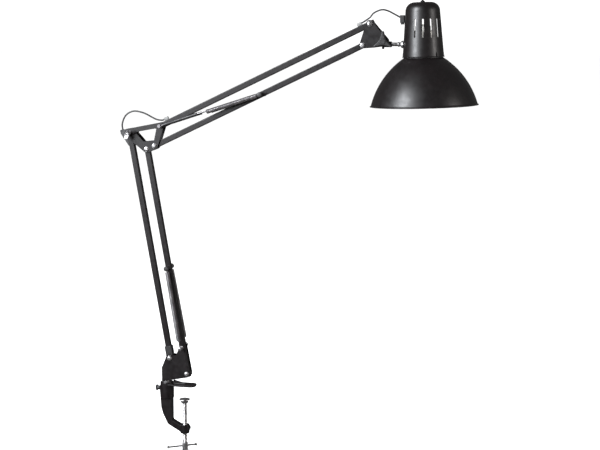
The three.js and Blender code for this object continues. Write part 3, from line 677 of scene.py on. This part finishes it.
def hex_nut(place, face, corner_r=4.1, height=3):
    """A nut standing on face, its outer corners turned off."""
    top = face + height
    nut = prism("nut", circle(0, 0, corner_r, 6), face, top, place)
    cone = [(0, face - 1), (corner_r, face - 1), (corner_r, top - 0.75)]
    cone += [(corner_r - 0.72, top + 0.01), (0, top + 0.01)]
    return combine(nut, [lathe("cone", cone, place, 48)], "INTERSECT")


def nut_end(place):
    """A bolt's threaded end and its nut, behind the back plate."""
    return [
        threaded("end", BOLT_R, *THREAD, -PLATE_OUT - NUT_END, -PLATE_OUT + 0.2, place, 20),
        hex_nut(place @ FLIP, PLATE_OUT + GAP),
    ]


def bolt(node, pivot):
    place = at(pivot)
    low, high = PLATE_OUT + 0.02, PLATE_OUT + GAP
    parts = [
        pan_head(place, PLATE_OUT + GAP),
        rod("shank", BOLT_R, -PLATE_OUT, PLATE_OUT + 0.5, place, 0.05, 24),
        *nut_end(place),
        bored("washer", 4.3, BOLT_R + 0.05, low, high, place, 0.05),
        bored("washer", 4.3, BOLT_R + 0.05, -high, -low, place, 0.05),
    ]
    stand_in(together(node + "_fine", parts), "bright_steel", node)


def pivot_washers(name, pivot, body):
    """Nylon washers between a bar and the two plates."""
    place = at(pivot)
    inner, outer = BAR / 2 + 0.1, PLATE_IN - 0.1
    sides = [(inner, outer), (-outer, -inner)]
    parts = [bored("washer", 4.4, HOLE_R + 0.05, low, high, place) for low, high in sides]
    piece(together(name, parts), body, "grey_plastic")


def fasteners():
    for node, pivot in (
        ("base_bolt_left", LOWER_LEFT),
        ("base_bolt_right", LOWER_RIGHT),
        ("elbow_bolt_lower", ELBOW_RIGHT),
        ("elbow_bolt_upper", UPPER_BOTTOM),
        ("head_bolt_top", HEAD_TOP),
        ("head_bolt_bottom", HEAD_BOTTOM),
    ):
        bolt(node, pivot)
    for end, pivot, body in (
        ("lower_left", LOWER_LEFT, "lower_left"),
        ("lower_right", LOWER_RIGHT, "lower_right"),
        ("elbow_left", ELBOW_LEFT, "lower_left"),
        ("elbow_right", ELBOW_RIGHT, "lower_right"),
        ("upper_top", UPPER_TOP, "upper_top"),
        ("upper_bottom", UPPER_BOTTOM, "upper_bottom"),
        ("head_top", HEAD_TOP, "upper_top"),
        ("head_bottom", HEAD_BOTTOM, "upper_bottom"),
    ):
        pivot_washers("washers_" + end, pivot, body)


# ---- Base bracket ------------------------------------------------------------------------------------
def plate(name, outline, side, pivots, holes=()):
    """A side plate in front (side 1) or behind (side -1), with its bolt holes and any other holes."""
    low, high = sorted((side * PLATE_IN, side * PLATE_OUT))
    sheet = prism(name, outline, low, high, ACROSS)
    tools = [drill(HOLE_R, low - 1, high + 1, at(p), 32) for p in pivots]
    tools += [prism("window", h, low - 1, high + 1, ACROSS) for h in holes]
    return cut(sheet, *tools)


def base():
    web_x = POST_X - POST_R - GAP  # the web's face beside the post
    outline = belt([
        (web_x + 1, 9.8, 2.4),
        (-22, 13.2, 3),
        (LOWER_RIGHT.x, LOWER_RIGHT.z, 6),
        (LOWER_ANCHOR.x + 0.4, LOWER_ANCHOR.z, 5),
        (-14.6, 56.6, -3.6),
        (LOWER_LEFT.x - 0.4, LOWER_LEFT.z, 6),
        (-31.2, 35.5, 1.6),
        (web_x + 0.2, 31, 1.8),
    ])
    pivots = [LOWER_LEFT, LOWER_RIGHT, LOWER_ANCHOR]
    sides = [plate("side", outline, side, pivots) for side in (1, -1)]
    corners = [(web_x - 1.65, 8.6), (web_x, 8.6), (web_x, 32), (web_x - 1.65, 32)]
    web = prism("base_bracket_fine", corners, -PLATE_OUT + 0.02, PLATE_OUT - 0.02, ACROSS)
    bracket = together("base_bracket_fine", [bevel(sheet, 0.4, 3) for sheet in (*sides, web)])
    stand_in(bracket, "black_paint", "base_bracket")

    low, high = span("base_post", "z")
    post = [
        (0, low), (4.3, low), (POST_R, low + 0.8), (POST_R, -9), (4.4, -8.4), (4.4, -3.6), (POST_R, -3),
        (POST_R, high - 1.6), (4.2, high - 0.9), (4.2, high - 0.3), (3.9, high), (0, high),
    ]
    place = Matrix.Translation((POST_X, 0, 0))
    stand_in(lathe("base_post_fine", post, place), "bright_steel", "base_post")
    low, high = span("base_washer", "z")
    stand_in(bored("base_washer_fine", 9, 5.3, low, high, place, 0.3), "bright_steel", "base_washer")

    profile = [
        (0, PLATE_IN), (STUD_R, PLATE_IN), (STUD_R, PLATE_OUT + GAP), (2.7, PLATE_OUT + GAP),
        (3, PLATE_OUT + 0.6), (3, PLATE_OUT + 1.3), (2.7, PLATE_OUT + 1.6), (STUD_R, PLATE_OUT + 1.6),
        (STUD_R, LOWER_EYE_Y + 1.6), (2.6, LOWER_EYE_Y + 1.6), (2.9, LOWER_EYE_Y + 1.9),
        (2.7, LOWER_EYE_Y + 2.7), (1.9, LOWER_EYE_Y + 3), (0, LOWER_EYE_Y + 3),
    ]
    for side, turn in (("front", IDENTITY), ("back", FLIP)):
        node = "lower_spring_stud_" + side
        stud = lathe(node + "_fine", profile, at(LOWER_ANCHOR) @ turn, 32)
        stand_in(stud, "bright_steel", node)


# ---- Bars --------------------------------------------------------------------------------------------
def round_square(half, corner):
    """A square tube's outline, each corner turned in four steps."""
    c = half - corner
    return belt([(-c, -c, corner), (c, -c, corner), (c, c, corner), (-c, c, corner)], 90 / 4)


def square_tube(node, pivot, way, past, pins):
    """A tube along an arm, reaching past its end pivots, with its pins' places and hole radii."""
    low, high = -past, ARM + past
    outer = round_square(BAR / 2, BAR_ROUND)
    inner = round_square(BAR / 2 - BAR_WALL, BORE_ROUND)
    n = len(outer)
    verts = [(x, y, z) for z in (low, high) for ring in (outer, inner) for x, y in ring]
    faces = []
    for k in range(n):
        m = (k + 1) % n
        faces += [[k, m, 2 * n + m, 2 * n + k], [n + k, n + m, 3 * n + m, 3 * n + k]]
        faces += [[k, m, n + m, n + k], [2 * n + k, 2 * n + m, 3 * n + m, 3 * n + k]]
    tube = make(node + "_fine", verts, faces, along(pivot, way))
    tools = [drill(radius, -BAR, BAR, at(pivot + way * place)) for place, radius in pins]
    stand_in(cut(tube, *tools), "black_paint", node)


def end_plug(name, body, end, way):
    """A moulded cap on a tube's end, facing way."""
    place = along(end, way)
    cap = bevel(prism(name, round_square(BAR / 2, BAR_ROUND), 0.05, 0.8, place), 0.25)
    stub = prism("stub", round_square(BAR / 2 - BAR_WALL - 0.1, BORE_ROUND), -1.5, 0.3, place)
    piece(together(name, [cap, stub]), body, "black_plastic")


def bars():
    lower_pin = (LOWER_COLLAR - LOWER_RIGHT).length
    upper_pin = (UPPER_COLLAR - UPPER_BOTTOM).length
    first, last = (0, HOLE_R), (ARM, HOLE_R)
    pinned = [first, (lower_pin, HOLE_R), last], [first, (upper_pin, HOLE_R), last]
    tubes = (
        ("lower_bar_left", LOWER_LEFT, LOWER_WAY, 7, [first, last]),
        ("lower_bar_right", LOWER_RIGHT, LOWER_WAY, 5, pinned[0]),
        ("upper_bar_top", UPPER_TOP, UPPER_WAY, 6, [(0, STUD_R + GAP), last]),
        ("upper_bar_bottom", UPPER_BOTTOM, UPPER_WAY, 5, pinned[1]),
    )
    for tube in tubes:
        square_tube(*tube)
    for node, pivot, way, past, _ in tubes:
        body = BODY_OF[node]
        first_end, last_end = ("foot", "top") if way is LOWER_WAY else ("elbow", "head")
        if body != "lower_left":  # the ferrule and the gland close that bar's foot
            end_plug(f"plug_{body}_{first_end}", body, pivot - way * past, -way)
        end_plug(f"plug_{body}_{last_end}", body, pivot + way * (ARM + past), way)
    for node, slot, width in (
        ("lower_bar_ferrule", "black_plastic", 0.4),
        ("mains_lead_gland", "black_plastic", 0.25),
        ("elbow_cord_guide", "black_plastic", 0.5),
        ("cord_clip_elbow", "grey_plastic", 0.2),
        ("cord_clip_head", "grey_plastic", 0.2),
    ):
        stand_in(bevel(like_cad(node, node + "_fine"), width), slot, node)


# ---- Springs -----------------------------------------------------------------------------------------
def ring_points(centre, radius, start, turn, count):
    """Points on an arc across the arms, about centre, from angle start."""
    angles = [start + turn * k / count for k in range(count + 1)]
    return [centre + radius * Vector((math.cos(a), 0, math.sin(a))) for a in angles]


def spring_way(eye, collar, bias):
    """From a spring's stud to its bolt, turned by bias in the side view."""
    way = (collar - eye).normalized()
    return Matrix.Rotation(-bias, 3, "Y") @ way


def coil(node, eye, collar, length, hole, bias):
    """Close turns under a loop on the bar's bolt."""
    way = spring_way(eye, collar, bias)
    place = along(collar, -way)
    heading = math.atan2(-way.z, -way.x)
    loop = hole + 0.35 + WIRE_R
    points = ring_points(collar, loop, heading + math.radians(15), math.radians(330), 24)[::-1]
    mean = COIL_R - WIRE_R
    pitch = 2 * WIRE_R + 0.05
    per_turn = 14
    steps = length / pitch * per_turn
    for k in range(int(steps) + 1):
        a = 2 * math.pi * k / per_turn
        grow = min(1, k / (per_turn * 1.2))
        r = mean * (0.25 + 0.75 * grow)
        points.append(place @ Vector((r * math.cos(a), r * math.sin(a), EYE + length * k / steps)))
    stand_in(sweep(node + "_fine", points, WIRE_R, 7), "spring_steel", node, smooth=70)


def spring_rod(node, eye, collar, length, hole, bias):
    """The rod that runs into the coil, with its loop on the stud."""
    way = spring_way(eye, collar, bias)
    heading = math.atan2(way.z, way.x)
    loop = hole + 0.3 + ROD_R
    points = ring_points(eye, loop, heading + math.radians(28), math.radians(314), 24)
    straight = loop + 1.6
    reach = (collar - eye).length - EYE - length + ROD_IN_COIL
    points += [eye + way * (straight + (reach - straight) * k / 10) for k in range(11)]
    stand_in(sweep(node + "_fine", curve(points, 2), ROD_R, 8), "spring_steel", node, smooth=70)


def spring_pair(name, anchor, anchor_y, collar, collar_y, length, bias):
    for side_name, side in (("front", -1), ("back", 1)):
        eye = Vector((anchor.x, side * anchor_y, anchor.z))
        end = Vector((collar.x, side * collar_y, collar.z))
        coil(f"{name}_coil_{side_name}", eye, end, length, BOLT_R, bias)
        spring_rod(f"{name}_hook_{side_name}", eye, end, length, STUD_R, bias)


def spring_bolt(node, collar, eye_y):
    """A cross bolt with a spacer each side of its bar and a domed cap outside each spring eye."""
    bar = BAR / 2
    half = [
        (0, 0), (BOLT_R, 0), (BOLT_R, bar + GAP), (3.1, bar + GAP), (3.4, bar + 0.6), (3.4, eye_y - 1.7),
        (3.1, eye_y - 1.4), (BOLT_R, eye_y - 1.4), (BOLT_R, eye_y + 1.6), (3.8, eye_y + 1.6),
        (4.2, eye_y + 2), (4.2, eye_y + 3), (3.6, eye_y + 3.9), (2.2, eye_y + 4.2), (0, eye_y + 4.2),
    ]
    stand_in(lathe(node + "_fine", mirrored(half), at(collar), 36), "black_plastic", node)


def springs():
    spring_pair("lower_spring", LOWER_ANCHOR, LOWER_EYE_Y, LOWER_COLLAR, LOWER_COLLAR_Y, LOWER_COIL, 0)
    spring_pair("upper_spring", UPPER_TOP, UPPER_EYE_Y, UPPER_COLLAR, UPPER_EYE_Y, UPPER_COIL, UPPER_BIAS)
    for name, y in (("front", -UPPER_EYE_Y), ("back", UPPER_EYE_Y)):
        eye = Vector((UPPER_TOP.x, y, UPPER_TOP.z))
        way = spring_way(eye, Vector((UPPER_COLLAR.x, y, UPPER_COLLAR.z)), UPPER_BIAS)
        tube = bored("rod_sleeve_" + name, 2.4, 0.95, 6, 68, along(eye, way), 0.3, 24)
        piece(tube, "upper_rods", "black_plastic")
    spring_bolt("lower_spring_bolt", LOWER_COLLAR, LOWER_COLLAR_Y)
    spring_bolt("upper_spring_bolt", UPPER_COLLAR, UPPER_EYE_Y)


# ---- Elbow -------------------------------------------------------------------------------------------
def elbow():
    outline = belt([
        (ELBOW_RIGHT.x, ELBOW_RIGHT.z, 5.6),
        (UPPER_BOTTOM.x, UPPER_BOTTOM.z, 6),
        (UPPER_TOP.x, UPPER_TOP.z, 5.6),
        (ELBOW_LEFT.x, ELBOW_LEFT.z, 7.6),
    ])
    window = belt([
        (ELBOW_RIGHT.x - 4, ELBOW_RIGHT.z + 14, 1.5),
        (UPPER_BOTTOM.x - 1.5, UPPER_BOTTOM.z + 10, 1.5),
        (UPPER_TOP.x - 9, UPPER_TOP.z - 6, 1.5),
        (ELBOW_LEFT.x + 14, ELBOW_LEFT.z + 1, 1.5),
    ])
    pivots = [ELBOW_LEFT, ELBOW_RIGHT, UPPER_TOP, UPPER_BOTTOM]
    for name, side in (("front", 1), ("back", -1)):
        node = "elbow_plate_" + name
        sheet = plate(node + "_fine", outline, side, pivots, [window])
        stand_in(bevel(sheet, 0.35, 3), "black_paint", node)

    place = at(ELBOW_LEFT)
    lock = [
        rod("shank", BOLT_R, -PLATE_OUT, PLATE_OUT, place, 0.05, 24),
        threaded("end", BOLT_R, *THREAD, PLATE_OUT - 0.2, PLATE_OUT + 8.4, place, 20),
        *nut_end(place),
    ]
    stand_in(together("elbow_lock_bolt_fine", lock), "bright_steel", "elbow_lock_bolt")

    parts = [rod("hub", 4.6, PLATE_OUT + GAP, PLATE_OUT + GAP + 5.5, place, 0.6, 40)]
    root = PLATE_OUT + 5
    for angle in (28, 270):
        lean = Matrix.Translation((0, 0, root)) @ Matrix.Rotation(math.radians(-28), 4, "Y")
        lean = lean @ Matrix.Translation((0, 0, -root))
        ear_place = place @ Matrix.Rotation(math.radians(angle), 4, "Z") @ lean
        outline = belt([(0, 0, 3.4), (8.4, 0, 3.4)])
        parts.append(prism("ear", outline, root + 2.2, root + 4.2, ear_place))
    wing_nut = cut(weld(*parts), drill(HOLE_R, 0, 40, place))
    wing_nut.name = "elbow_wing_nut_fine"
    stand_in(soften(wing_nut, 0.28, 5), "spring_steel", "elbow_wing_nut", smooth=60)

    half = [
        (0, 0), (STUD_R, 0), (STUD_R, PLATE_OUT + GAP), (3.6, PLATE_OUT + GAP), (3.6, PLATE_OUT + 2.3),
        (3.3, PLATE_OUT + 2.6), (STUD_R, PLATE_OUT + 2.6), (STUD_R, UPPER_EYE_Y + 1.4),
        (2.9, UPPER_EYE_Y + 1.4), (3.2, UPPER_EYE_Y + 1.7), (3.2, UPPER_EYE_Y + 2.6),
        (2.6, UPPER_EYE_Y + 3.2), (0, UPPER_EYE_Y + 3.2),
    ]
    anchor = lathe("upper_spring_anchor_fine", mirrored(half), at(UPPER_TOP), 36)
    stand_in(anchor, "spring_steel", "upper_spring_anchor")


# ---- Head bracket and tilt joint ---------------------------------------------------------------------
def head_bracket():
    outline = belt([
        (HEAD_BOTTOM.x, HEAD_BOTTOM.z, 5),
        (HEAD_BOTTOM.x + 16, HEAD_BOTTOM.z + 1.2, 5),
        (TILT.x, TILT.z, 7.5),
        (320.5, 588, 7),
        (HEAD_TOP.x, HEAD_TOP.z, 6),
    ])
    pivots = [HEAD_TOP, HEAD_BOTTOM, TILT]
    for name, side in (("front", 1), ("back", -1)):
        node = "head_plate_" + name
        stand_in(bevel(plate(node + "_fine", outline, side, pivots), 0.35, 3), "black_paint", node)

    place = at(TILT)
    tilt = [rod("shank", BOLT_R, -PLATE_OUT, PLATE_OUT + 5, place, 0.05, 24), *nut_end(place)]
    stand_in(together("tilt_bolt_fine", tilt), "bright_steel", "tilt_bolt")

    corners = []
    for k in range(3):  # a small round tip, then a wide hollow waist
        for angle, distance, radius in ((90 + 120 * k, 14.4, 1.7), (150 + 120 * k, 31, -25)):
            a = math.radians(angle)
            corners.append((distance * math.cos(a), distance * math.sin(a), radius))
    body = prism("tilt_knob_fine", belt(corners, 5), PLATE_OUT + GAP, PLATE_OUT + 10, place)
    body = bevel(body, 1.3, 4, 25)
    top = PLATE_OUT + 10
    profile = [
        (0, top - 1), (5.2, top - 1), (5.2, top + 0.3), (4.7, top + 0.8), (3.4, top + 0.9), (3, top + 0.5),
        (0, top + 0.4),
    ]
    boss = lathe("boss", profile, place, 40)
    knob = cut(weld(body, boss), drill(HOLE_R, 0, PLATE_OUT + 6, place))
    stand_in(knob, "black_plastic", "tilt_knob")

    barrel = rod("head_knuckle_fine", 7.4, -5.1, 5.1, place, 0.5, 48)
    neck = rod("neck", 4.6, 0, 12.5, level(TILT.x, STEM_Z), 0.5)
    screw = rod("screw", 1.9, 0, 7.4, along(Vector((TILT.x - 1.2, 0, STEM_Z)), (0, 0, -1)), 0.3, 24)
    knuckle = weld(barrel, neck, screw)
    bores = [drill(HOLE_R, -8, 8, place), drill(3.3, 5, 20, level(TILT.x, STEM_Z), 32)]
    stand_in(bevel(cut(knuckle, *bores), 0.25), "black_paint", "head_knuckle")


# ---- Stem, cup, shade --------------------------------------------------------------------------------
def wall(h):
    """The cup's outer radius at height h of its taper."""
    return CUP_FOOT_R + (CUP_TOP_R - CUP_FOOT_R) * (h - CUP_BOTTOM) / (CUP_STRAIGHT - CUP_BOTTOM)


def wall_arc(inset, steps):
    """The shade's wall: one arc from collar to rim, SHADE_BULGE proud of its chord."""
    chord = RIM_POINT - COLLAR_POINT
    half = chord.length / 2
    radius = (half**2 + SHADE_BULGE**2) / (2 * SHADE_BULGE)
    out = Vector((-chord.y, chord.x)).normalized()
    centre = (RIM_POINT + COLLAR_POINT) / 2 + out * (SHADE_BULGE - radius)
    facing = math.degrees(math.atan2(out.y, out.x))
    spread_angle = math.degrees(math.asin(half / radius))
    return arc(centre, radius - inset, facing + spread_angle, facing - spread_angle, steps)


def stem():
    low, high = span("head_stem", "x")
    place = level(low, STEM_Z)
    neck = high - low - 14
    profile = [
        (0, 0), (2.7, 0), (3, 0.3), (3, neck - 1.6), (3.7, neck - 1.4), (3.9, neck - 1.1),
        (3.9, neck + 0.3), (3.6, neck + 0.8), (2.4, neck + 0.8), (2.4, neck + 1), (0, neck + 1),
    ]
    collar = lathe("collar", profile, place, 40)
    end = threaded("end", 2.4, 0.35, 0.8, neck + 0.6, high - low, place, 24)
    stand_in(together("head_stem_fine", [collar, end]), "bright_steel", "head_stem")

    outside = HEAD @ level(-wall(0) - 0.5, STEM_LIFT, -1)
    turns = [math.radians(a) for a in range(0, 61, 6)]
    dome = [(2.7, 0), (5.7, 0), *[(6 * math.cos(a), 0.3 + 4.9 * math.sin(a)) for a in turns], (2.7, 4.9)]
    stand_in(lathe("ball_washer_fine", dome, outside, closed=True), "bright_steel", "ball_washer")
    inside = HEAD @ level(-wall(0) + SHEET + 1.2, STEM_LIFT)
    nut = cut(hex_nut(inside, 0, 5, 4), drill(2.6, -5, 9, inside))
    nut.name = "stem_nut_fine"
    stand_in(nut, "bright_steel", "stem_nut")


def cup():
    """A spun shell, its outer and inner skins each running to the axis, joined at the foot."""
    centre = (CUP_TOP_R - CUP_CORNER, CUP_TOP - CUP_CORNER)
    foot = wall(CUP_BOTTOM)
    outer = [(foot + 0.6, CUP_BOTTOM + 0.2), (foot + 0.7, CUP_BOTTOM + 0.6), (foot + 0.5, CUP_BOTTOM + 1)]
    outer += [(foot, CUP_BOTTOM + 1.5)] + [(wall(h), h) for h in range(-10, CUP_STRAIGHT + 1, 10)]
    outer += arc(centre, CUP_CORNER, 0, 90, 15) + [(5, CUP_TOP + 0.1), (0, CUP_TOP + 0.1)]
    inner = [(0, CUP_TOP - SHEET)] + arc(centre, CUP_CORNER - SHEET, 90, 0, 9)
    inner += [(wall(h) - SHEET, h) for h in (30, 10, -10)]
    inner += [(foot - SHEET, CUP_BOTTOM), (foot + 0.3, CUP_BOTTOM)]
    body = lathe("lamp_cup_fine", outer[::-1] + inner[::-1], HEAD, 144)

    tools = []
    stadium = belt([(-11.95, 0, 1.35), (-38.45, 0, 1.35)], 20)
    for i in range(SLOTS):
        angle = math.radians(7 + (i - (SLOTS - 1) / 2) * 360 / SLOTS_ROUND)
        tools.append(prism("slot", stadium, 0, 20, HEAD @ Matrix.Rotation(angle, 4, "Z") @ level(20, 0)))
    notch = [(21.5, -1.1), (21.5, 1.1), (12.5, 1.1), (12.5, -1.1)]
    for angle in (-44, 76, 196):
        place = HEAD @ Matrix.Rotation(math.radians(angle), 4, "Z") @ level(20, 0)
        tools.append(prism("notch", notch, 0, 20, place))
    tools.append(drill(2.7, 0, 30, HEAD @ level(-20, STEM_LIFT, -1)))
    tools.append(drill(2.6, 0, 20, HEAD @ level(-20, 38, -1)))
    stand_in(cut(body, *tools), "black_shade_paint", "lamp_cup", smooth=32)

    top = [
        (0, 58.5), (2.2, 58.5), (2.2, 65.3), (3, 65.3), (3.3, 65.7), (3.3, 66.6), (2.8, 67.2), (1.5, 67.3),
        (1.35, 69.2), (0.9, 69.8), (0, 70),
    ]
    stand_in(lathe("cup_top_screw_fine", top, HEAD, 32), "black_paint", "cup_top_screw")


def lamp_shade():
    inner = [(r, z) for r, z in wall_arc(SHEET, 48) if z < -24.4]
    rim = [
        (84.2, -93.5), (84.9, -93.9), (85, -94.5), (84.7, -94.9), (84.1, SHADE_RIM), (83.3, -94.7),
        (82.9, -94.2),
    ]
    lip = [(34, -24.2), (24, -24.2), (24, -23), (30, -23)]
    profile = wall_arc(0, 48) + rim + inner[::-1] + lip
    body = lathe("shade_fine", profile, HEAD, 160, closed=True)
    stand_in(body, "black_shade_paint", "shade", smooth=50)
    front = [(r - 0.25, z - 0.1) for r, z in inner[1:]]
    back = [(r + 0.12, z + 0.05) for r, z in front]
    lining = lathe("shade_lining", front + back[::-1], HEAD, 128, closed=True)
    piece(lining, "head", "white_holder", smooth=50)

    ring = [(19.3, -26.2), (26.6, -26.2), (27, -25.9), (27, -24.8), (26.7, -24.5), (19.3, -24.5)]
    stand_in(lathe("shade_ring_fine", ring, HEAD, 64, closed=True), "black_plastic", "shade_ring")
    gasket = [(29.6, -22), (30.6, -22), (30.9, -21.6), (30.9, -18.4), (30.6, -18.1), (29.6, -18.1)]
    piece(lathe("collar_gasket", gasket, HEAD, 64, closed=True), "head", "black_plastic")


def lampholder():
    r = HOLDER_R
    ribs = []
    for z in range(16, -17, -4):
        ribs += [(r, z), (r, z - 2.2), (r - 0.5, z - 2.8), (r - 0.5, z - 3.4)]
    profile = [(0, 31), (8.6, 31), (9, 30.6), (12, 28), (12, 22), (r - 0.4, 20.3), (r, 19.6)]
    profile += [(radius, z) for radius, z in ribs if z > SHADE_TOP + 3.5]
    profile += [(r, -18), (29, -18), (29.4, -18.4), (29.4, -22.3), (29, -22.6), (r, -22.6)]
    profile += [(r - 0.1, -29.6), (r - 0.5, -30), (14.4, -30), (14.2, -29.8), (14.2, -6), (0, -6)]
    stand_in(lathe("lampholder_fine", profile, HEAD, 64), "white_holder", "lampholder")


def bulb():
    globe = arc((0, BULB_END + BULB_R), BULB_R, -90, 34, 36)
    profile = [(0, globe[0][1])] + globe[1:] + [(14.9, -33.6), (14.3, -32.2), (13.4, -30.4), (0, -30)]
    stand_in(lathe("bulb_fine", profile, HEAD, 72), "frosted_glass", "bulb", smooth=50)
    cap = threaded("bulb_cap", 13.6, 1.1, 3.6, -30.2, -10, HEAD, 48)
    contact = [(0, -10.4), (12.2, -10.4), (10.5, -8.6), (5, -7.6), (4.6, -6.7), (0, -6.6)]
    piece(together("bulb_cap", [cap, lathe("tip", contact, HEAD)]), "head", "bright_steel")


def strain_relief():
    block = soften(like_cad("cord_strain_relief", "cord_strain_relief_fine"), 0.3, 4)
    stand_in(block, "black_plastic", "cord_strain_relief", smooth=60)


# ---- Cord loops --------------------------------------------------------------------------------------
def on_bar(pivot, way, distance, height):
    """A point beside a bar: distance along it from its pivot, and height over its axis."""
    return pivot + way * distance + Vector((-way.z, 0, way.x)) * height


def from_pivot(pivot, offsets):
    return [pivot + Vector((x, 0, z)) for x, z in offsets]


ELBOW_LOOP = [
    on_bar(LOWER_LEFT, LOWER_WAY, ARM + 8.5, BOOT_H),
    *from_pivot(ELBOW_LEFT, [(-14, 13), (-12, 21), (-8, 28), (-2, 33), (7, 36), (17, 35)]),
    *from_pivot(ELBOW_LEFT, [(27, 32), (37, 27), (46, 23)]),
    on_bar(UPPER_TOP, UPPER_WAY, 4, SLEEVE_H + 0.5),
    on_bar(UPPER_TOP, UPPER_WAY, 8.4, SLEEVE_H),
]
HEAD_LOOP = [
    on_bar(UPPER_TOP, UPPER_WAY, 370.6, SLEEVE_H),
    on_bar(UPPER_TOP, UPPER_WAY, 376, SLEEVE_H + 0.5),
    *from_pivot(HEAD_TOP, [(-1, 10), (4, 16), (11, 20), (19, 22), (28, 20), (36, 16)]),
    HEAD @ Vector((-wall(CORD_ENTRY) - 8, 0, 43.2)),
]


def cord_stretch(name, line):
    """A length of cord between two bodies, attached to neither, with its place baked into its mesh."""
    obj = sweep(name, line, CORD_R, 12)
    piece(obj, None, "cord_sheath", smooth=60)
    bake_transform(obj)
    return obj


def cords():
    """Each loop is split where it starts to bend with another body; its ends reach into their holders."""
    in_boot = on_bar(LOWER_LEFT, LOWER_WAY, ARM + 2, BOOT_H)
    in_sleeve = on_bar(UPPER_TOP, UPPER_WAY, 14, SLEEVE_H)
    line = curve([in_boot, *ELBOW_LOOP, in_sleeve], CORD_STEPS)
    half = 7 * CORD_STEPS
    first = cord_stretch("elbow_cord_lower", line[: half + 1])
    cord_stretch("elbow_cord_upper", line[half:])
    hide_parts("elbow_cord_loop")
    in_sleeve = on_bar(UPPER_TOP, UPPER_WAY, 364, SLEEVE_H)
    in_relief = HEAD @ Vector((-wall(CORD_ENTRY) - 5.4, 0, 42.1))
    line = curve([in_sleeve, *HEAD_LOOP, in_relief], CORD_STEPS)
    third, two_thirds = 4 * CORD_STEPS, 7 * CORD_STEPS
    first = cord_stretch("head_cord_arm", line[: third + 1])
    cord_stretch("head_cord_bracket", line[third : two_thirds + 1])
    cord_stretch("head_cord_cup", line[two_thirds:])
    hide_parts("head_cord_loop")


# ---- Stage -------------------------------------------------------------------------------------------
def stage():
    floor_z = CAD_BOX[0].z / MM - 0.5
    reach = 40000
    corners = [(-reach, -reach), (reach, -reach), (reach, reach), (-reach, reach)]
    floor = make("floor", [(x, y, floor_z) for x, y in corners], [[0, 1, 2, 3]])
    material, nodes, links, bsdf = blank("pale_floor")
    patches = spread(nodes, links, noise(nodes, links, 3), 0, 1)
    tone = two_tone(nodes, links, patches, (0.89, 0.89, 0.89), (0.91, 0.91, 0.91))
    links.new(tone, bsdf.inputs["Base Color"])
    bsdf.inputs["Roughness"].default_value = 0.85
    floor.data.materials.append(material)
    floor.visible_glossy = False

    def light(name, place, target, size, power, tint=(1, 1, 1), glossy=True):
        """An area light: places and sizes in metres, power in watts."""
        data = bpy.data.lights.new(name, "AREA")
        data.shape = "RECTANGLE"
        data.size, data.size_y = size
        data.energy = power
        data.color = tint
        obj = bpy.data.objects.new(name, data)
        obj.location = place
        obj.visible_glossy = glossy
        obj.rotation_euler = (Vector(target) - Vector(place)).to_track_quat("-Z", "Y").to_euler()
        scene.collection.objects.link(obj)

    light("key", (-0.8, -1.35, 1.15), (0.38, 0, 0.5), (0.75, 1.5), 96, (0.93, 0.96, 1))
    light("fill", (2.1, -0.5, 0.7), (0.38, 0, 0.5), (0.4, 1.1), 14, (1, 0.96, 0.94))
    light("top", (0.3, 0.3, 2.4), (0.2, 0, 0.3), (1.4, 1.0), 20, glossy=False)
    world = bpy.data.worlds.new("studio")
    scene.world = world
    world.use_nodes = True
    nodes, links = world.node_tree.nodes, world.node_tree.links
    nodes["Background"].inputs["Color"].default_value = (1, 1, 1, 1)
    path = nodes.new("ShaderNodeLightPath")
    plain, glossy = 1.25, 0.13  # paint reflects a darker room than the one that lights it
    strength = spread(nodes, links, path.outputs["Is Glossy Ray"], plain, glossy, 0, 1)
    links.new(strength, nodes["Background"].inputs["Strength"])
    scene.view_settings.view_transform = "Standard"


clamp()
fasteners()
base()
bars()
springs()
elbow()
head_bracket()
stem()
cup()
lamp_shade()
lampholder()
bulb()
strain_relief()
cords()
stage()
